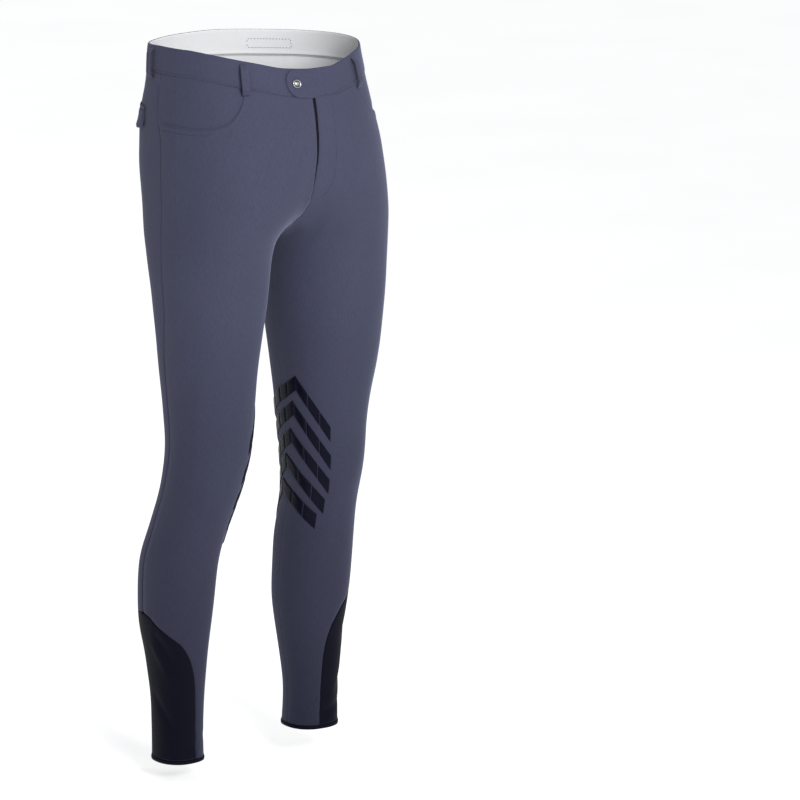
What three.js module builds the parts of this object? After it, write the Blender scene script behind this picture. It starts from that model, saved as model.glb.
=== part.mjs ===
// Men's riding breeches, worn shape with no wearer inside.
// Millimetres, +Z up, the front faces -Y, the wearer's right is -X.
// The origin is at the middle of the waist, level with the top of the band at the sides.

import * as THREE from 'three';

// Cloth and seams
const WALL = 1.2;
const BAND_WALL = 1.6;
const FACING_WALL = 1.0;
const SEAM_GAP = 0.3;
const ON_PANEL = 0.4;
const FLAP_WALL = 1.6;

// Waist
const BAND_DEPTH = 37;
const FRONT_RIM = -20;
const TAB_TIP_X = -39;
const TAB_END_RADIUS = 17;
const TAB_LIFT = 2.1;
const BAND_START_X = 3;
const BAND_END_X = 19;
const BAND_STATIONS = 21;
const LOOP_WIDTH = 10;
const LOOP_RISE = 8;
const LOOP_STRAP = 1.5;
const LOOP_BELOW_RIM = 4;
const LOOP_BELOW_BAND = 9;
const LOOP_STEPS = 10;

// Legs
const CROTCH_LEVEL = -255;
const CALF_TOP = -786;
const SEAT_TOP = -107;
const HEM = { right: -1003, left: -983 };
const BINDING_DEPTH = 5;
const BINDING_WALL = 2.2;
const BINDING_COLUMNS = 32;
const CALF_COLUMNS = 14;

// Fastenings
const WAIST_BUTTON = { radius: 6.6, height: 3.2, x: -21.5, below: 18 };
const FLAP_BUTTON = { radius: 5, height: 2.6, below: 23 };

// Knee grips
const GRIP_WIDTH = 18;
const GRIP_HEIGHT = 0.8;
const GRIP_LIFT = 0.5;

// A level section of one half is a rounded oval. Near the middle plane its two ends
// turn in over CROTCH_ROUND, so that both halves meet in a soft valley.
const CROTCH_ROUND = 18;
const SHAPE_POWER = 2.25;

// level: [height, reach outwards, reach inwards past the middle, reach forwards, reach backwards]
const HIP_SECTIONS = [
  [30, 149, 158, 109, 124],
  [0, 149, 155, 108, 130],
  [-45, 154, 153, 114, 134],
  [-90, 160, 134, 127, 147],
  [-140, 166, 100, 131, 140],
  [-190, 171, 52, 125, 118],
  [-230, 173, 4, 116, 99],
  [-255, 174, -18, 107, 90],
];
const LEG_SECTIONS = {
  right: [
    [-280, 174, -21, 99, 81],
    [-330, 171, -26, 94, 71],
    [-390, 165, -33, 86, 65],
    [-450, 158, -37.5, 75, 63],
    [-500, 154, -39, 67, 58],
    [-550, 150, -41, 60, 58],
    [-600, 151, -46, 47, 64],
    [-660, 156, -55, 25, 84],
    [-720, 162, -63.5, 11, 103],
    [-790, 160, -66, 1, 108],
    [-860, 149, -73, -9, 98],
    [-930, 141, -76, -17, 92],
    [-1010, 138.5, -72, -22, 94],
  ],
  left: [
    [-280, 176, -20, 101, 84],
    [-330, 176, -20.5, 95, 78],
    [-390, 173, -23, 89, 75],
    [-450, 170, -31, 75, 70],
    [-500, 166, -39, 61, 68],
    [-550, 164, -48, 50, 70],
    [-600, 166, -57, 39, 75],
    [-660, 167, -66, 19, 88],
    [-720, 170, -68, 8, 99],
    [-790, 167, -67, 2, 101],
    [-860, 157, -72, -6, 90],
    [-930, 150, -77, -9, 83],
    [-1010, 146, -70, -2, 81],
  ],
};

// The waist leans a little to the wearer's right: [height, shift sideways]
const LEAN = [[30, -5.8], [0, -5.8], [-45, -3.2], [-90, -2], [-140, 0], [-200, 0]];

// Seam lines are given by their turn round the section, in degrees:
// 0 is the front of a leg, 90 its outside, 180 its back, 270 its inside.
// [height, turn]
const SIDE_SEAM = [[20, 92], [-40, 92], [-140, 89], [-240, 89.5], [-340, 91], [-430, 98], [-520, 98],
  [-600, 102], [-700, 101], [-786, 98]];
const SEAT_SEAM = [[-107, 180.6], [-107.8, 179.6], [-110, 178.5], [-114, 177], [-128, 174], [-152, 172],
  [-182, 176], [-212, 184], [-242, 197], [-275, 204], [-305, 207], [-340, 209], [-400, 211], [-500, 208],
  [-620, 205], [-700, 207], [-800, 210], [-862, 212]];
const CALF_FRONT_SEAM = [[-786, 98], [-787.5, 91], [-792, 82], [-800, 71], [-812, 50], [-830, 22], [-862, 2],
  [-910, -7], [-955, -10], [-1010, -11]];
const CALF_BACK_SEAM = [[-786, 98], [-787.5, 122], [-792, 149], [-800, 170], [-812, 186], [-830, 199],
  [-862, 212], [-910, 217], [-955, 219], [-1010, 220]];
// The top of the band: [turn, height]
const RIM = {
  right: [[0, FRONT_RIM], [12, -16.5], [24, -9], [40, -1], [55, 5], [70, 8.5], [90, 9], [115, 6],
    [140, 4], [180, 4.5]],
  left: [[0, FRONT_RIM], [12, -20], [24, -15], [40, -8.5], [55, -5], [70, -1], [90, 0], [115, -0.5],
    [140, 0], [180, 4.5]],
};
// The scooped edge of the front pocket: [turn, height]. It starts at the band.
const POCKET_EDGE = [[36, -40], [37.5, -60], [40, -74], [44, -85], [50, -91], [58, -94], [66, -95], [75, -95],
  [84, -94.6], [92, -94.2]];

// Level rows shared by all panels of a leg, so that their edges run side by side.
const UPPER_LEVELS = [-107, -107.8, -110, -114, -128, -152, -190, -222, -240, -249, -253, -255];
const LOWER_LEVELS = [-260, -275, -305, -345, -395, -445, -490, -530, -570, -610, -650, -695, -745,
  -786, -787.5, -792, -800, -812, -830, -862, -910, -955];

// Belt loops: [name, side, turn round the waist, how far off the band their ends are sewn]
const BELT_LOOPS = [
  ['loop_front_right', 'right', 37, 0.8],
  ['loop_front_left', 'left', 32, 0.6],
  ['loop_side_right', 'right', 104, 0.6],
  ['loop_side_left', 'left', 104, 0.6],
  ['loop_back_right', 'right', 162, 1.4],
  ['loop_back_left', 'left', 162, 1.4],
];

// Back pocket flap: its stations are columns of the back panel, its point is at one of them.
const FLAP = { columns: [2, 3, 4, 5, 6, 7, 8, 8.7], point: 6, top: -75, corner: -94, tip: -108 };
const BACK_COLUMNS = 11;
const INNER_COLUMNS = 5;
const WELT_DEPTH = 5;
const WELT_WALL = 1;

// Front and back panels: their first level row, and how far down to it the rows above lie.
const FRONT_BASE = -128;
const FRONT_DROPS = [0, 0.37, 0.58];
const BACK_DROPS = [0, 0.41, 0.84];
const BACK_BOTTOM = -850;

// Pocket facing below the scoop, and fly underlap.
const FACING_BELOW_SCOOP = 12;
const FACING_START = 3;
const FACING_FLAT_TURN = 44;
const FACING_INSET = 1.5;
const FACING_CLEARANCE = 0.5;
const UNDERLAP_REACHES = [-24, -14, -7, 0, 7, 14, 20];
const UNDERLAP_HEIGHTS = [-62, -95, -128, -150, -170, -188];
const UNDERLAP_CLEARANCE = 1;
// Stations of the tab, by their signed distance from the middle.
const TAB_REACHES = [12, 6, -3, -13, -22, -27, -31.5, -35, -37.5, TAB_TIP_X];

// Knee grips: [turn and height of the peak, turn and height of the front end, of the back end]
const GRIPS = [
  [-69, -462, -24, -520, -137, -505],
  [-75, -500, -22, -572, -145, -548],
  [-82, -540, -21, -610, -149, -592],
  [-93, -584, -24, -648, -149, -634],
  [-103, -624, -31, -676, -148, -668],
];

const JERSEY = { color: 0x525469, roughness: 0.82, metalness: 0 };
const STRETCH = { color: 0x141622, roughness: 0.7, metalness: 0 };
const LINING = { color: 0xd9dce0, roughness: 0.85, metalness: 0 };
const SILICONE = { color: 0x1d2033, roughness: 0.45, metalness: 0 };
const METAL = { color: 0xb9bcc2, roughness: 0.3, metalness: 1 };

const breeches = new THREE.Group();
breeches.name = 'riding_breeches';

// Smooth line through the rows of a table whose first column falls or rises all the way.
function smoothTable(rows) {
  const down = rows[1][0] < rows[0][0] ? -1 : 1;
  const at = rows.map((row) => row[0] * down);
  const last = rows.length - 1;
  const width = rows[0].length;
  const slopes = rows.map(() => new Array(width).fill(0));
  for (let c = 1; c < width; c++) {
    const rise = [];
    for (let i = 0; i < last; i++) rise.push((rows[i + 1][c] - rows[i][c]) / (at[i + 1] - at[i]));
    slopes[0][c] = rise[0];
    slopes[last][c] = rise[last - 1];
    for (let i = 1; i < last; i++) {
      const product = rise[i - 1] * rise[i];
      slopes[i][c] = product > 0 ? (2 * product) / (rise[i - 1] + rise[i]) : 0;
    }
  }
  return (where) => {
    const x = THREE.MathUtils.clamp(where * down, at[0], at[last]);
    let i = 0;
    while (i < last - 1 && x > at[i + 1]) i++;
    const span = at[i + 1] - at[i];
    const t = (x - at[i]) / span;
    const values = [];
    for (let c = 1; c < width; c++) {
      const from = (1 + 2 * t) * (1 - t) ** 2 * rows[i][c] + t * (1 - t) ** 2 * span * slopes[i][c];
      const to = t * t * (3 - 2 * t) * rows[i + 1][c] + t * t * (t - 1) * span * slopes[i + 1][c];
      values.push(from + to);
    }
    return values;
  };
}

// Straight line through the rows of a table.
function straightTable(rows) {
  const down = rows[1][0] < rows[0][0] ? -1 : 1;
  return (where) => {
    const x = where * down;
    const last = rows.length - 1;
    let i = 0;
    while (i < last - 1 && x > rows[i + 1][0] * down) i++;
    const t = THREE.MathUtils.clamp((where - rows[i][0]) / (rows[i + 1][0] - rows[i][0]), 0, 1);
    return THREE.MathUtils.lerp(rows[i][1], rows[i + 1][1], t);
  };
}

const sections = {
  right: smoothTable([...HIP_SECTIONS, ...LEG_SECTIONS.right]),
  left: smoothTable([...HIP_SECTIONS, ...LEG_SECTIONS.left]),
};
const rims = { right: smoothTable(RIM.right), left: smoothTable(RIM.left) };
const rimHeight = (leg, turn) => rims[leg](turn)[0];
const lean = smoothTable(LEAN);
const pocketHeight = straightTable(POCKET_EDGE);
const roundPower = (value) => Math.sign(value) * Math.abs(value) ** (2 / SHAPE_POWER);
const sideOf = (leg) => (leg === 'right' ? -1 : 1);

function sectionAt(leg, z) {
  const [out, into, front, back] = sections[leg](z);
  const reach = Math.hypot(out, CROTCH_ROUND);
  return {
    out,
    middleX: (reach - into) / 2,
    halfX: (reach + into) / 2,
    middleY: (back - front) / 2,
    halfY: (front + back) / 2,
  };
}

// Point at a turn round one half or leg.
function legPoint(leg, turn, z) {
  const s = sectionAt(leg, z);
  const angle = THREE.MathUtils.degToRad(turn);
  const across = s.middleX + s.halfX * roundPower(Math.sin(angle));
  const x = Math.sqrt(Math.max(across ** 2 - CROTCH_ROUND ** 2, 0));
  return new THREE.Vector3(sideOf(leg) * x, s.middleY - s.halfY * roundPower(Math.cos(angle)), z);
}

// Point round the whole waist: the turn is measured from the middle of the front to that of the back.
function waistPoint(leg, turn, z) {
  const s = sectionAt(leg, z);
  const x = s.out * roundPower(Math.sin(THREE.MathUtils.degToRad(turn)));
  return surfacePoint(leg, Math.abs(x), z, turn < 90);
}

// Point at a reach from the middle plane, on the front or the back.
function surfacePoint(leg, x, z, isFront) {
  const s = sectionAt(leg, z);
  const across = Math.min(Math.abs((Math.hypot(x, CROTCH_ROUND) - s.middleX) / s.halfX), 1);
  const y = s.halfY * (1 - across ** SHAPE_POWER) ** (1 / SHAPE_POWER);
  return new THREE.Vector3(sideOf(leg) * x, s.middleY + (isFront ? -y : y), z);
}

// Turn round the whole waist of a point on one half.
function waistTurn(leg, p) {
  const s = sectionAt(leg, p.z);
  const share = Math.min(Math.abs(p.x) / s.out, 1) ** (SHAPE_POWER / 2);
  const turn = THREE.MathUtils.radToDeg(Math.asin(share));
  return p.y < s.middleY ? turn : 180 - turn;
}

// Height of the band's lower seam over a turn round one half.
function bandSeamHeight(leg, turn) {
  return rimHeight(leg, waistTurn(leg, legPoint(leg, turn, -BAND_DEPTH))) - BAND_DEPTH;
}

function fieldAt(leg, x, y, z) {
  const s = sectionAt(leg, z);
  const across = Math.abs((Math.hypot(x, CROTCH_ROUND) - s.middleX) / s.halfX);
  return across ** SHAPE_POWER + Math.abs((y - s.middleY) / s.halfY) ** SHAPE_POWER;
}

function normalAt(leg, p) {
  const h = 0.05;
  const x = Math.abs(p.x);
  const slope = new THREE.Vector3(
    sideOf(leg) * (fieldAt(leg, x + h, p.y, p.z) - fieldAt(leg, Math.max(x - h, 0), p.y, p.z)),
    fieldAt(leg, x, p.y + h, p.z) - fieldAt(leg, x, p.y - h, p.z),
    fieldAt(leg, x, p.y, p.z + h) - fieldAt(leg, x, p.y, p.z - h),
  );
  return slope.normalize();
}

// Moves a surface point out along the form, keeping it on its own side of the middle plane.
function lifted(leg, p, lift) {
  const q = p.clone().addScaledVector(normalAt(leg, p), lift);
  const side = sideOf(leg);
  q.x = side * Math.max(side * q.x, SEAM_GAP / 2);
  return q;
}

// Turns at which a half meets the middle plane, or the inside of the leg below the crotch.
function frontCut(leg, heightAt) {
  let inside = -90;
  let outside = 90;
  const isClosed = (turn) => {
    const s = sectionAt(leg, heightAt(turn));
    return s.middleX + s.halfX * roundPower(Math.sin(THREE.MathUtils.degToRad(turn))) < CROTCH_ROUND;
  };
  if (!isClosed(-90)) return -90;
  for (let i = 0; i < 40; i++) {
    const half = (inside + outside) / 2;
    if (isClosed(half)) inside = half;
    else outside = half;
  }
  return outside;
}

const backCut = (leg, heightAt) => 180 - frontCut(leg, (turn) => heightAt(180 - turn));

// Half a seam gap as a turn, wider where the seam runs slantwise.
function gapTurn(leg, seam, z) {
  const turn = seam(z);
  const step = 0.5;
  const speed = legPoint(leg, turn + step, z).distanceTo(legPoint(leg, turn - step, z)) / (2 * step);
  const reach = 0.4;
  const drift = (seam(z + reach) - seam(z - reach)) * speed / (2 * reach);
  return Math.min(SEAM_GAP / 2 * Math.hypot(1, drift), 6) / speed;
}

// Closed solid between an outer and an inner grid of points. Rows may close on themselves.
function shellGeometry(outer, inner, isRing = false) {
  const rows = outer.length;
  const columns = outer[0].length;
  const positions = [];
  const index = [];
  for (const grid of [outer, inner]) {
    for (const row of grid) {
      for (const p of row) positions.push(p.x + lean(p.z)[0], p.y, p.z);
    }
  }
  const at = (layer, r, c) => layer * rows * columns + r * columns + (c % columns);
  const quad = (a, b, c, d) => index.push(a, b, c, a, c, d);
  const spans = isRing ? columns : columns - 1;
  for (let r = 0; r < rows - 1; r++) {
    for (let c = 0; c < spans; c++) {
      quad(at(0, r, c), at(0, r, c + 1), at(0, r + 1, c + 1), at(0, r + 1, c));
      quad(at(1, r, c), at(1, r + 1, c), at(1, r + 1, c + 1), at(1, r, c + 1));
    }
  }
  for (let c = 0; c < spans; c++) {
    quad(at(0, 0, c + 1), at(0, 0, c), at(1, 0, c), at(1, 0, c + 1));
    quad(at(0, rows - 1, c), at(0, rows - 1, c + 1), at(1, rows - 1, c + 1), at(1, rows - 1, c));
  }
  if (!isRing) {
    const end = columns - 1;
    for (let r = 0; r < rows - 1; r++) {
      quad(at(0, r, 0), at(0, r + 1, 0), at(1, r + 1, 0), at(1, r, 0));
      quad(at(0, r + 1, end), at(0, r, end), at(1, r, end), at(1, r + 1, end));
    }
  }
  if (signedVolume(positions, index) < 0) index.reverse();
  const geometry = new THREE.BufferGeometry();
  geometry.setAttribute('position', new THREE.Float32BufferAttribute(positions, 3));
  geometry.setIndex(index);
  return geometry;
}

function signedVolume(positions, index) {
  const corner = (i) => new THREE.Vector3().fromArray(positions, 3 * index[i]);
  let volume = 0;
  for (let i = 0; i < index.length; i += 3) {
    volume += corner(i).dot(corner(i + 1).cross(corner(i + 2))) / 6;
  }
  return volume;
}

function addMesh(name, geometry, finish) {
  const mesh = new THREE.Mesh(geometry, new THREE.MeshStandardMaterial(finish));
  mesh.name = name;
  mesh.geometry.computeVertexNormals();
  breeches.add(mesh);
  return mesh;
}

// Cloth wall over a grid of places, each { leg, p }, at a lift above the form.
function wallGeometry(places, lift, wall, isRing = false) {
  const layer = (height) => places.map((row) => row.map(({ leg, p }) => lifted(leg, p, height)));
  return shellGeometry(layer(lift), layer(lift - wall), isRing);
}

const seams = {
  side: straightTable(SIDE_SEAM),
  seat: straightTable(SEAT_SEAM),
  calfFront: straightTable(CALF_FRONT_SEAM),
  calfBack: straightTable(CALF_BACK_SEAM),
};

// Left and right ends of a panel's row, as turns.
function frontEnds(leg, z, heightAt) {
  const start = frontCut(leg, heightAt);
  const inseam = () => -90;
  const from = start > -90 ? start : -90 + gapTurn(leg, inseam, z);
  const seam = z > CALF_TOP ? seams.side : seams.calfFront;
  return [from, seam(z) - gapTurn(leg, seam, z)];
}

function backEnds(leg, z, heightAt) {
  const near = z > CALF_TOP ? seams.side : seams.calfBack;
  const from = near(z) + gapTurn(leg, near, z);
  if (z >= SEAT_TOP) return [from, backCut(leg, heightAt)];
  return [from, seams.seat(z) - gapTurn(leg, seams.seat, z)];
}

function innerEnds(leg, z, heightAt) {
  const seam = z > seatEnd ? seams.seat : seams.calfBack;
  const from = seam(z) + gapTurn(leg, seam, z);
  const end = backCut(leg, heightAt);
  const inseam = () => 270;
  return [from, end < 270 ? end : 270 - gapTurn(leg, inseam, z)];
}
const seatEnd = SEAT_SEAM[SEAT_SEAM.length - 1][0];

function calfEnds(leg, z) {
  return [
    seams.calfFront(z) + gapTurn(leg, seams.calfFront, z),
    seams.calfBack(z) - gapTurn(leg, seams.calfBack, z),
  ];
}

const panelBottom = (leg) => HEM[leg] + BINDING_DEPTH + SEAM_GAP;

function levelsBetween(leg, top, bottom) {
  const all = [...UPPER_LEVELS, ...LOWER_LEVELS, panelBottom(leg)];
  return all.filter((z) => z <= top && z >= bottom);
}

function levelRow(leg, z, ends, fractions) {
  const [from, to] = ends(leg, z, () => z);
  return fractions.map((f) => ({ leg, p: legPoint(leg, THREE.MathUtils.lerp(from, to, f), z) }));
}

const evenly = (count) => Array.from({ length: count + 1 }, (unused, i) => i / count);

const frontFractions = evenly(6);
const frontColumns = frontFractions.length + POCKET_EDGE.length - 2;
const scoopTurn = POCKET_EDGE[0][0];
const sideTurn = POCKET_EDGE[POCKET_EDGE.length - 1][0];

// Turns of the front panel's columns: gathered at the pocket's scoop above, even further down.
function frontTurns(from, to, z) {
  const even = evenly(frontColumns).map((f) => THREE.MathUtils.lerp(from, to, f));
  const gathered = [
    ...frontFractions.map((f) => THREE.MathUtils.lerp(from, scoopTurn, f)),
    ...POCKET_EDGE.slice(1).map(([turn]) => (
      THREE.MathUtils.mapLinear(turn, scoopTurn, sideTurn, scoopTurn, to)
    )),
  ];
  const share = THREE.MathUtils.smoothstep(-z, 128, 240);
  return even.map((turn, i) => THREE.MathUtils.lerp(gathered[i], turn, share));
}

// Front panel. Its top edge follows the band, then the scoop of the pocket.
function addFront(leg) {
  const topAt = (turn) => (
    (turn <= scoopTurn + 0.01 ? bandSeamHeight(leg, turn) : pocketHeight(turn)) - SEAM_GAP
  );
  const places = [];
  const addRow = (from, to, level, heightAt) => places.push(
    frontTurns(from, to, level).map((turn) => ({ leg, p: legPoint(leg, turn, heightAt(turn)) })),
  );
  for (const drop of FRONT_DROPS) {
    const heightAt = (turn) => THREE.MathUtils.lerp(topAt(turn), FRONT_BASE, drop);
    const [from] = frontEnds(leg, FRONT_BASE, heightAt);
    const [, to] = frontEnds(leg, heightAt(sideTurn), heightAt);
    addRow(from, to, FRONT_BASE, heightAt);
  }
  for (const z of levelsBetween(leg, FRONT_BASE, HEM[leg])) {
    const heightAt = () => z;
    const [from, to] = frontEnds(leg, z, heightAt);
    addRow(from, to, z, heightAt);
  }
  addMesh(`front_${leg}`, wallGeometry(places, 0, WALL), JERSEY);
}

// Turns of the back panel's columns at a height.
function backTurns(leg, z, columns) {
  const [from, to] = backEnds(leg, z, () => z);
  return columns.map((column) => THREE.MathUtils.lerp(from, to, column / BACK_COLUMNS));
}

// Back panel, down to the arched top of the calf panel.
function addBack(leg) {
  const fractions = evenly(BACK_COLUMNS);
  const places = [];
  for (const drop of BACK_DROPS) {
    const heightAt = (turn) => THREE.MathUtils.lerp(bandSeamHeight(leg, turn) - SEAM_GAP, SEAT_TOP, drop);
    const [from, to] = backEnds(leg, heightAt(sideTurn), heightAt);
    places.push(fractions.map((f) => {
      const turn = THREE.MathUtils.lerp(from, to, f);
      return { leg, p: legPoint(leg, turn, heightAt(turn)) };
    }));
  }
  const levels = levelsBetween(leg, SEAT_TOP, BACK_BOTTOM);
  for (const z of levels) places.push(levelRow(leg, z, backEnds, fractions));
  addMesh(`back_${leg}`, wallGeometry(places, 0, WALL), JERSEY);
}

// Insert from the middle of the seat, under the crotch and down the inside of the leg.
function addInner(leg) {
  const fractions = evenly(INNER_COLUMNS);
  const levels = levelsBetween(leg, SEAT_TOP - 0.5, HEM[leg]);
  const places = levels.map((z) => levelRow(leg, z, innerEnds, fractions));
  addMesh(`inner_leg_${leg}`, wallGeometry(places, 0, WALL), JERSEY);
}

function addCalf(leg) {
  const fractions = evenly(CALF_COLUMNS);
  const levels = levelsBetween(leg, CALF_TOP - 0.5, HEM[leg]);
  const places = levels.map((z) => levelRow(leg, z, calfEnds, fractions));
  addMesh(`calf_panel_${leg}`, wallGeometry(places, 0, WALL), STRETCH);
}

function addBinding(leg) {
  const turns = evenly(BINDING_COLUMNS).slice(1).map((f) => 360 * f - 90);
  const places = [HEM[leg] + BINDING_DEPTH, HEM[leg]].map((z) => (
    turns.map((turn) => ({ leg, p: legPoint(leg, turn, z) }))
  ));
  const spare = (BINDING_WALL - WALL) / 2;
  addMesh(`hem_binding_${leg}`, wallGeometry(places, spare, BINDING_WALL, true), STRETCH);
}

// Stations round the waist: from the front middle of the right half, round the back, to the left half.
function waistStations() {
  const [start, end] = [turnAtReach(BAND_START_X), turnAtReach(BAND_END_X)];
  const fractions = evenly(BAND_STATIONS);
  const right = fractions.map((f) => ({ leg: 'right', turn: THREE.MathUtils.lerp(start, 180, f) }));
  const left = fractions.map((f) => ({ leg: 'left', turn: THREE.MathUtils.lerp(180, end, f) }));
  return [...right, ...left.slice(1)];
}

const turnAtReach = (x) => {
  const share = (Math.abs(x) / sectionAt('right', FRONT_RIM).out) ** (SHAPE_POWER / 2);
  return THREE.MathUtils.radToDeg(Math.asin(share));
};

// Top of the band on the front at a signed distance from the middle.
const frontRim = (x) => rimHeight(x < 0 ? 'right' : 'left', turnAtReach(x));

// Point on the front at a signed distance from the middle: minus is the wearer's right.
function frontPlace(x, z) {
  const leg = x < 0 ? 'right' : 'left';
  return { leg, p: surfacePoint(leg, Math.abs(x), z, true) };
}

// Moves a place out by a lift, without keeping it off the middle plane.
const raised = ({ leg, p }, lift) => p.clone().addScaledVector(normalAt(leg, p), lift);

// The band starts under the tab, goes round the back and ends in the tab, which laps over its start.
function addWaistband() {
  const rows = [0, 0.5, 1];
  const outer = rows.map(() => []);
  const inner = rows.map(() => []);
  const addStation = (place, r, lift) => {
    outer[r].push(raised(place, lift));
    inner[r].push(raised(place, lift - BAND_WALL));
  };
  for (const { leg, turn } of waistStations()) {
    rows.forEach((share, r) => {
      const z = rimHeight(leg, turn) - BAND_DEPTH * share;
      addStation({ leg, p: waistPoint(leg, turn, z) }, r, 0);
    });
  }
  const tabMiddle = (x) => frontRim(x) - BAND_DEPTH / 2;
  const tabHalf = (x) => {
    const past = Math.max(TAB_TIP_X + TAB_END_RADIUS - x, 0) / TAB_END_RADIUS;
    const corner = BAND_DEPTH / 2 - TAB_END_RADIUS;
    return corner + TAB_END_RADIUS * Math.sqrt(Math.max(1 - past ** 2, 0.01));
  };
  for (const x of TAB_REACHES) {
    rows.forEach((share, r) => {
      const z = tabMiddle(x) + tabHalf(x) * (1 - 2 * share);
      addStation(frontPlace(x, z), r, TAB_LIFT);
    });
  }
  addMesh('waistband', shellGeometry(outer, inner), JERSEY);
}

// Pale facing inside the band, where it shows through the open waist.
function addFacing() {
  const places = [1.5, BAND_DEPTH / 2, BAND_DEPTH + 2].map((drop) => (
    waistStations().map(({ leg, turn }) => ({ leg, p: waistPoint(leg, turn, rimHeight(leg, turn) - drop) }))
  ));
  const lift = -(BAND_WALL + SEAM_GAP + 0.1);
  const outer = places.map((row) => row.map((place) => raised(place, lift)));
  const inner = places.map((row) => row.map((place) => raised(place, lift - FACING_WALL)));
  addMesh('waistband_facing', shellGeometry(outer, inner), LINING);
}

// Strip of cloth behind the opening of the fly.
function addFlyUnderlap() {
  const places = UNDERLAP_HEIGHTS.map((z) => UNDERLAP_REACHES.map((x) => frontPlace(x, z)));
  const lift = -(WALL + SEAM_GAP + UNDERLAP_CLEARANCE);
  const outer = places.map((row) => row.map((place) => raised(place, lift)));
  const inner = places.map((row) => row.map((place) => raised(place, lift - FACING_WALL)));
  addMesh('fly_underlap', shellGeometry(outer, inner), JERSEY);
}

// Cloth seen inside the scoop of a front pocket. It lies behind the front panel.
function addPocketFacing(leg) {
  const turns = [scoopTurn - FACING_START, ...POCKET_EDGE.map(([turn]) => turn - 0.01)];
  turns[turns.length - 1] -= FACING_INSET;
  const places = [0, 0.5, 1].map((share) => turns.map((turn) => {
    const top = bandSeamHeight(leg, turn) - BAND_WALL - 2;
    const bottom = pocketHeight(Math.max(turn, FACING_FLAT_TURN)) - FACING_BELOW_SCOOP;
    return { leg, p: legPoint(leg, turn, THREE.MathUtils.lerp(top, bottom, share)) };
  }));
  const facingLift = -(WALL + SEAM_GAP + FACING_CLEARANCE);
  addMesh(`pocket_facing_${leg}`, wallGeometry(places, facingLift, FACING_WALL), JERSEY);
}

// Strip and flap of a back pocket, both lying on the back panel.
function addBackPocket(leg) {
  const place = (column, z) => ({ leg, p: legPoint(leg, backTurns(leg, z, [column])[0], z) });
  const welt = [WELT_DEPTH, 0].map((rise) => (
    FLAP.columns.map((column) => place(column, FLAP.top + SEAM_GAP + rise))
  ));
  addMesh(`back_pocket_welt_${leg}`, wallGeometry(welt, ON_PANEL + WELT_WALL, WELT_WALL), JERSEY);
  const [first, last] = [FLAP.columns[0], FLAP.columns[FLAP.columns.length - 1]];
  const bottomAt = (column) => {
    const run = column < FLAP.point ? FLAP.point - first : last - FLAP.point;
    const share = 1 - Math.abs(column - FLAP.point) / run;
    return THREE.MathUtils.lerp(FLAP.corner, FLAP.tip, share);
  };
  const flap = [0, 0.5, 1].map((share) => (
    FLAP.columns.map((column) => place(column, THREE.MathUtils.lerp(FLAP.top, bottomAt(column), share)))
  ));
  addMesh(`back_pocket_flap_${leg}`, wallGeometry(flap, ON_PANEL + FLAP_WALL, FLAP_WALL), JERSEY);
  const seat = place(FLAP.point, FLAP.top - FLAP_BUTTON.below).p;
  addButton(`flap_button_${leg}`, leg, seat, FLAP_BUTTON, ON_PANEL + FLAP_WALL + SEAM_GAP);
}

// Turned metal button with a raised rim and a domed middle.
function addButton(name, leg, seat, size, lift) {
  const { radius: r, height: h } = size;
  const profile = [[0, 0], [0.8 * r, 0], [r, 0.35 * h], [r, 0.7 * h], [0.88 * r, h], [0.72 * r, h],
    [0.6 * r, 0.7 * h], [0.3 * r, 0.86 * h], [0, 0.9 * h]];
  const geometry = new THREE.LatheGeometry(profile.map(([x, y]) => new THREE.Vector2(x, y)), 16);
  const mesh = addMesh(name, closedLathe(geometry), METAL);
  const normal = normalAt(leg, seat);
  mesh.quaternion.setFromUnitVectors(new THREE.Vector3(0, 1, 0), normal);
  mesh.position.copy(seat).addScaledVector(normal, lift);
  mesh.position.x += lean(seat.z)[0];
}

// A turned shape with its doubled points joined and its empty triangles dropped.
function closedLathe(lathe) {
  const source = lathe.getAttribute('position');
  const positions = [];
  const seen = new Map();
  const newIndex = [];
  for (let i = 0; i < source.count; i++) {
    const key = [source.getX(i), source.getY(i), source.getZ(i)].map((v) => Math.round(v * 1e4)).join(',');
    if (!seen.has(key)) {
      seen.set(key, positions.length / 3);
      positions.push(source.getX(i), source.getY(i), source.getZ(i));
    }
    newIndex.push(seen.get(key));
  }
  const index = [];
  const old = lathe.index.array;
  for (let i = 0; i < old.length; i += 3) {
    const [a, b, c] = [newIndex[old[i]], newIndex[old[i + 1]], newIndex[old[i + 2]]];
    if (a !== b && b !== c && c !== a) index.push(a, b, c);
  }
  if (signedVolume(positions, index) < 0) index.reverse();
  const geometry = new THREE.BufferGeometry();
  geometry.setAttribute('position', new THREE.Float32BufferAttribute(positions, 3));
  geometry.setIndex(index);
  return geometry;
}

// A loop is a strap that stands off the band and comes back to the cloth at both ends.
function addBeltLoop(name, leg, turn, base) {
  const top = rimHeight(leg, turn) - LOOP_BELOW_RIM;
  const bottom = rimHeight(leg, turn) - BAND_DEPTH - LOOP_BELOW_BAND;
  const along = evenly(LOOP_STEPS);
  const rise = (f) => LOOP_RISE * Math.min(Math.sin(Math.PI * f) * 1.8, 1);
  const centre = waistPoint(leg, turn, (top + bottom) / 2);
  const normal = normalAt(leg, centre);
  const across = new THREE.Vector3(0, 0, 1).cross(normal).normalize();
  const row = (share, lift) => [-1, 1].map((hand) => {
    const z = THREE.MathUtils.lerp(top, bottom, share);
    const p = waistPoint(leg, turn, z).addScaledVector(normal, base + rise(share) + lift);
    return p.addScaledVector(across, (hand * LOOP_WIDTH) / 2);
  });
  const outer = along.map((f) => row(f, LOOP_STRAP));
  const inner = along.map((f) => row(f, 0));
  addMesh(name, shellGeometry(outer, inner), JERSEY);
}

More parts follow.
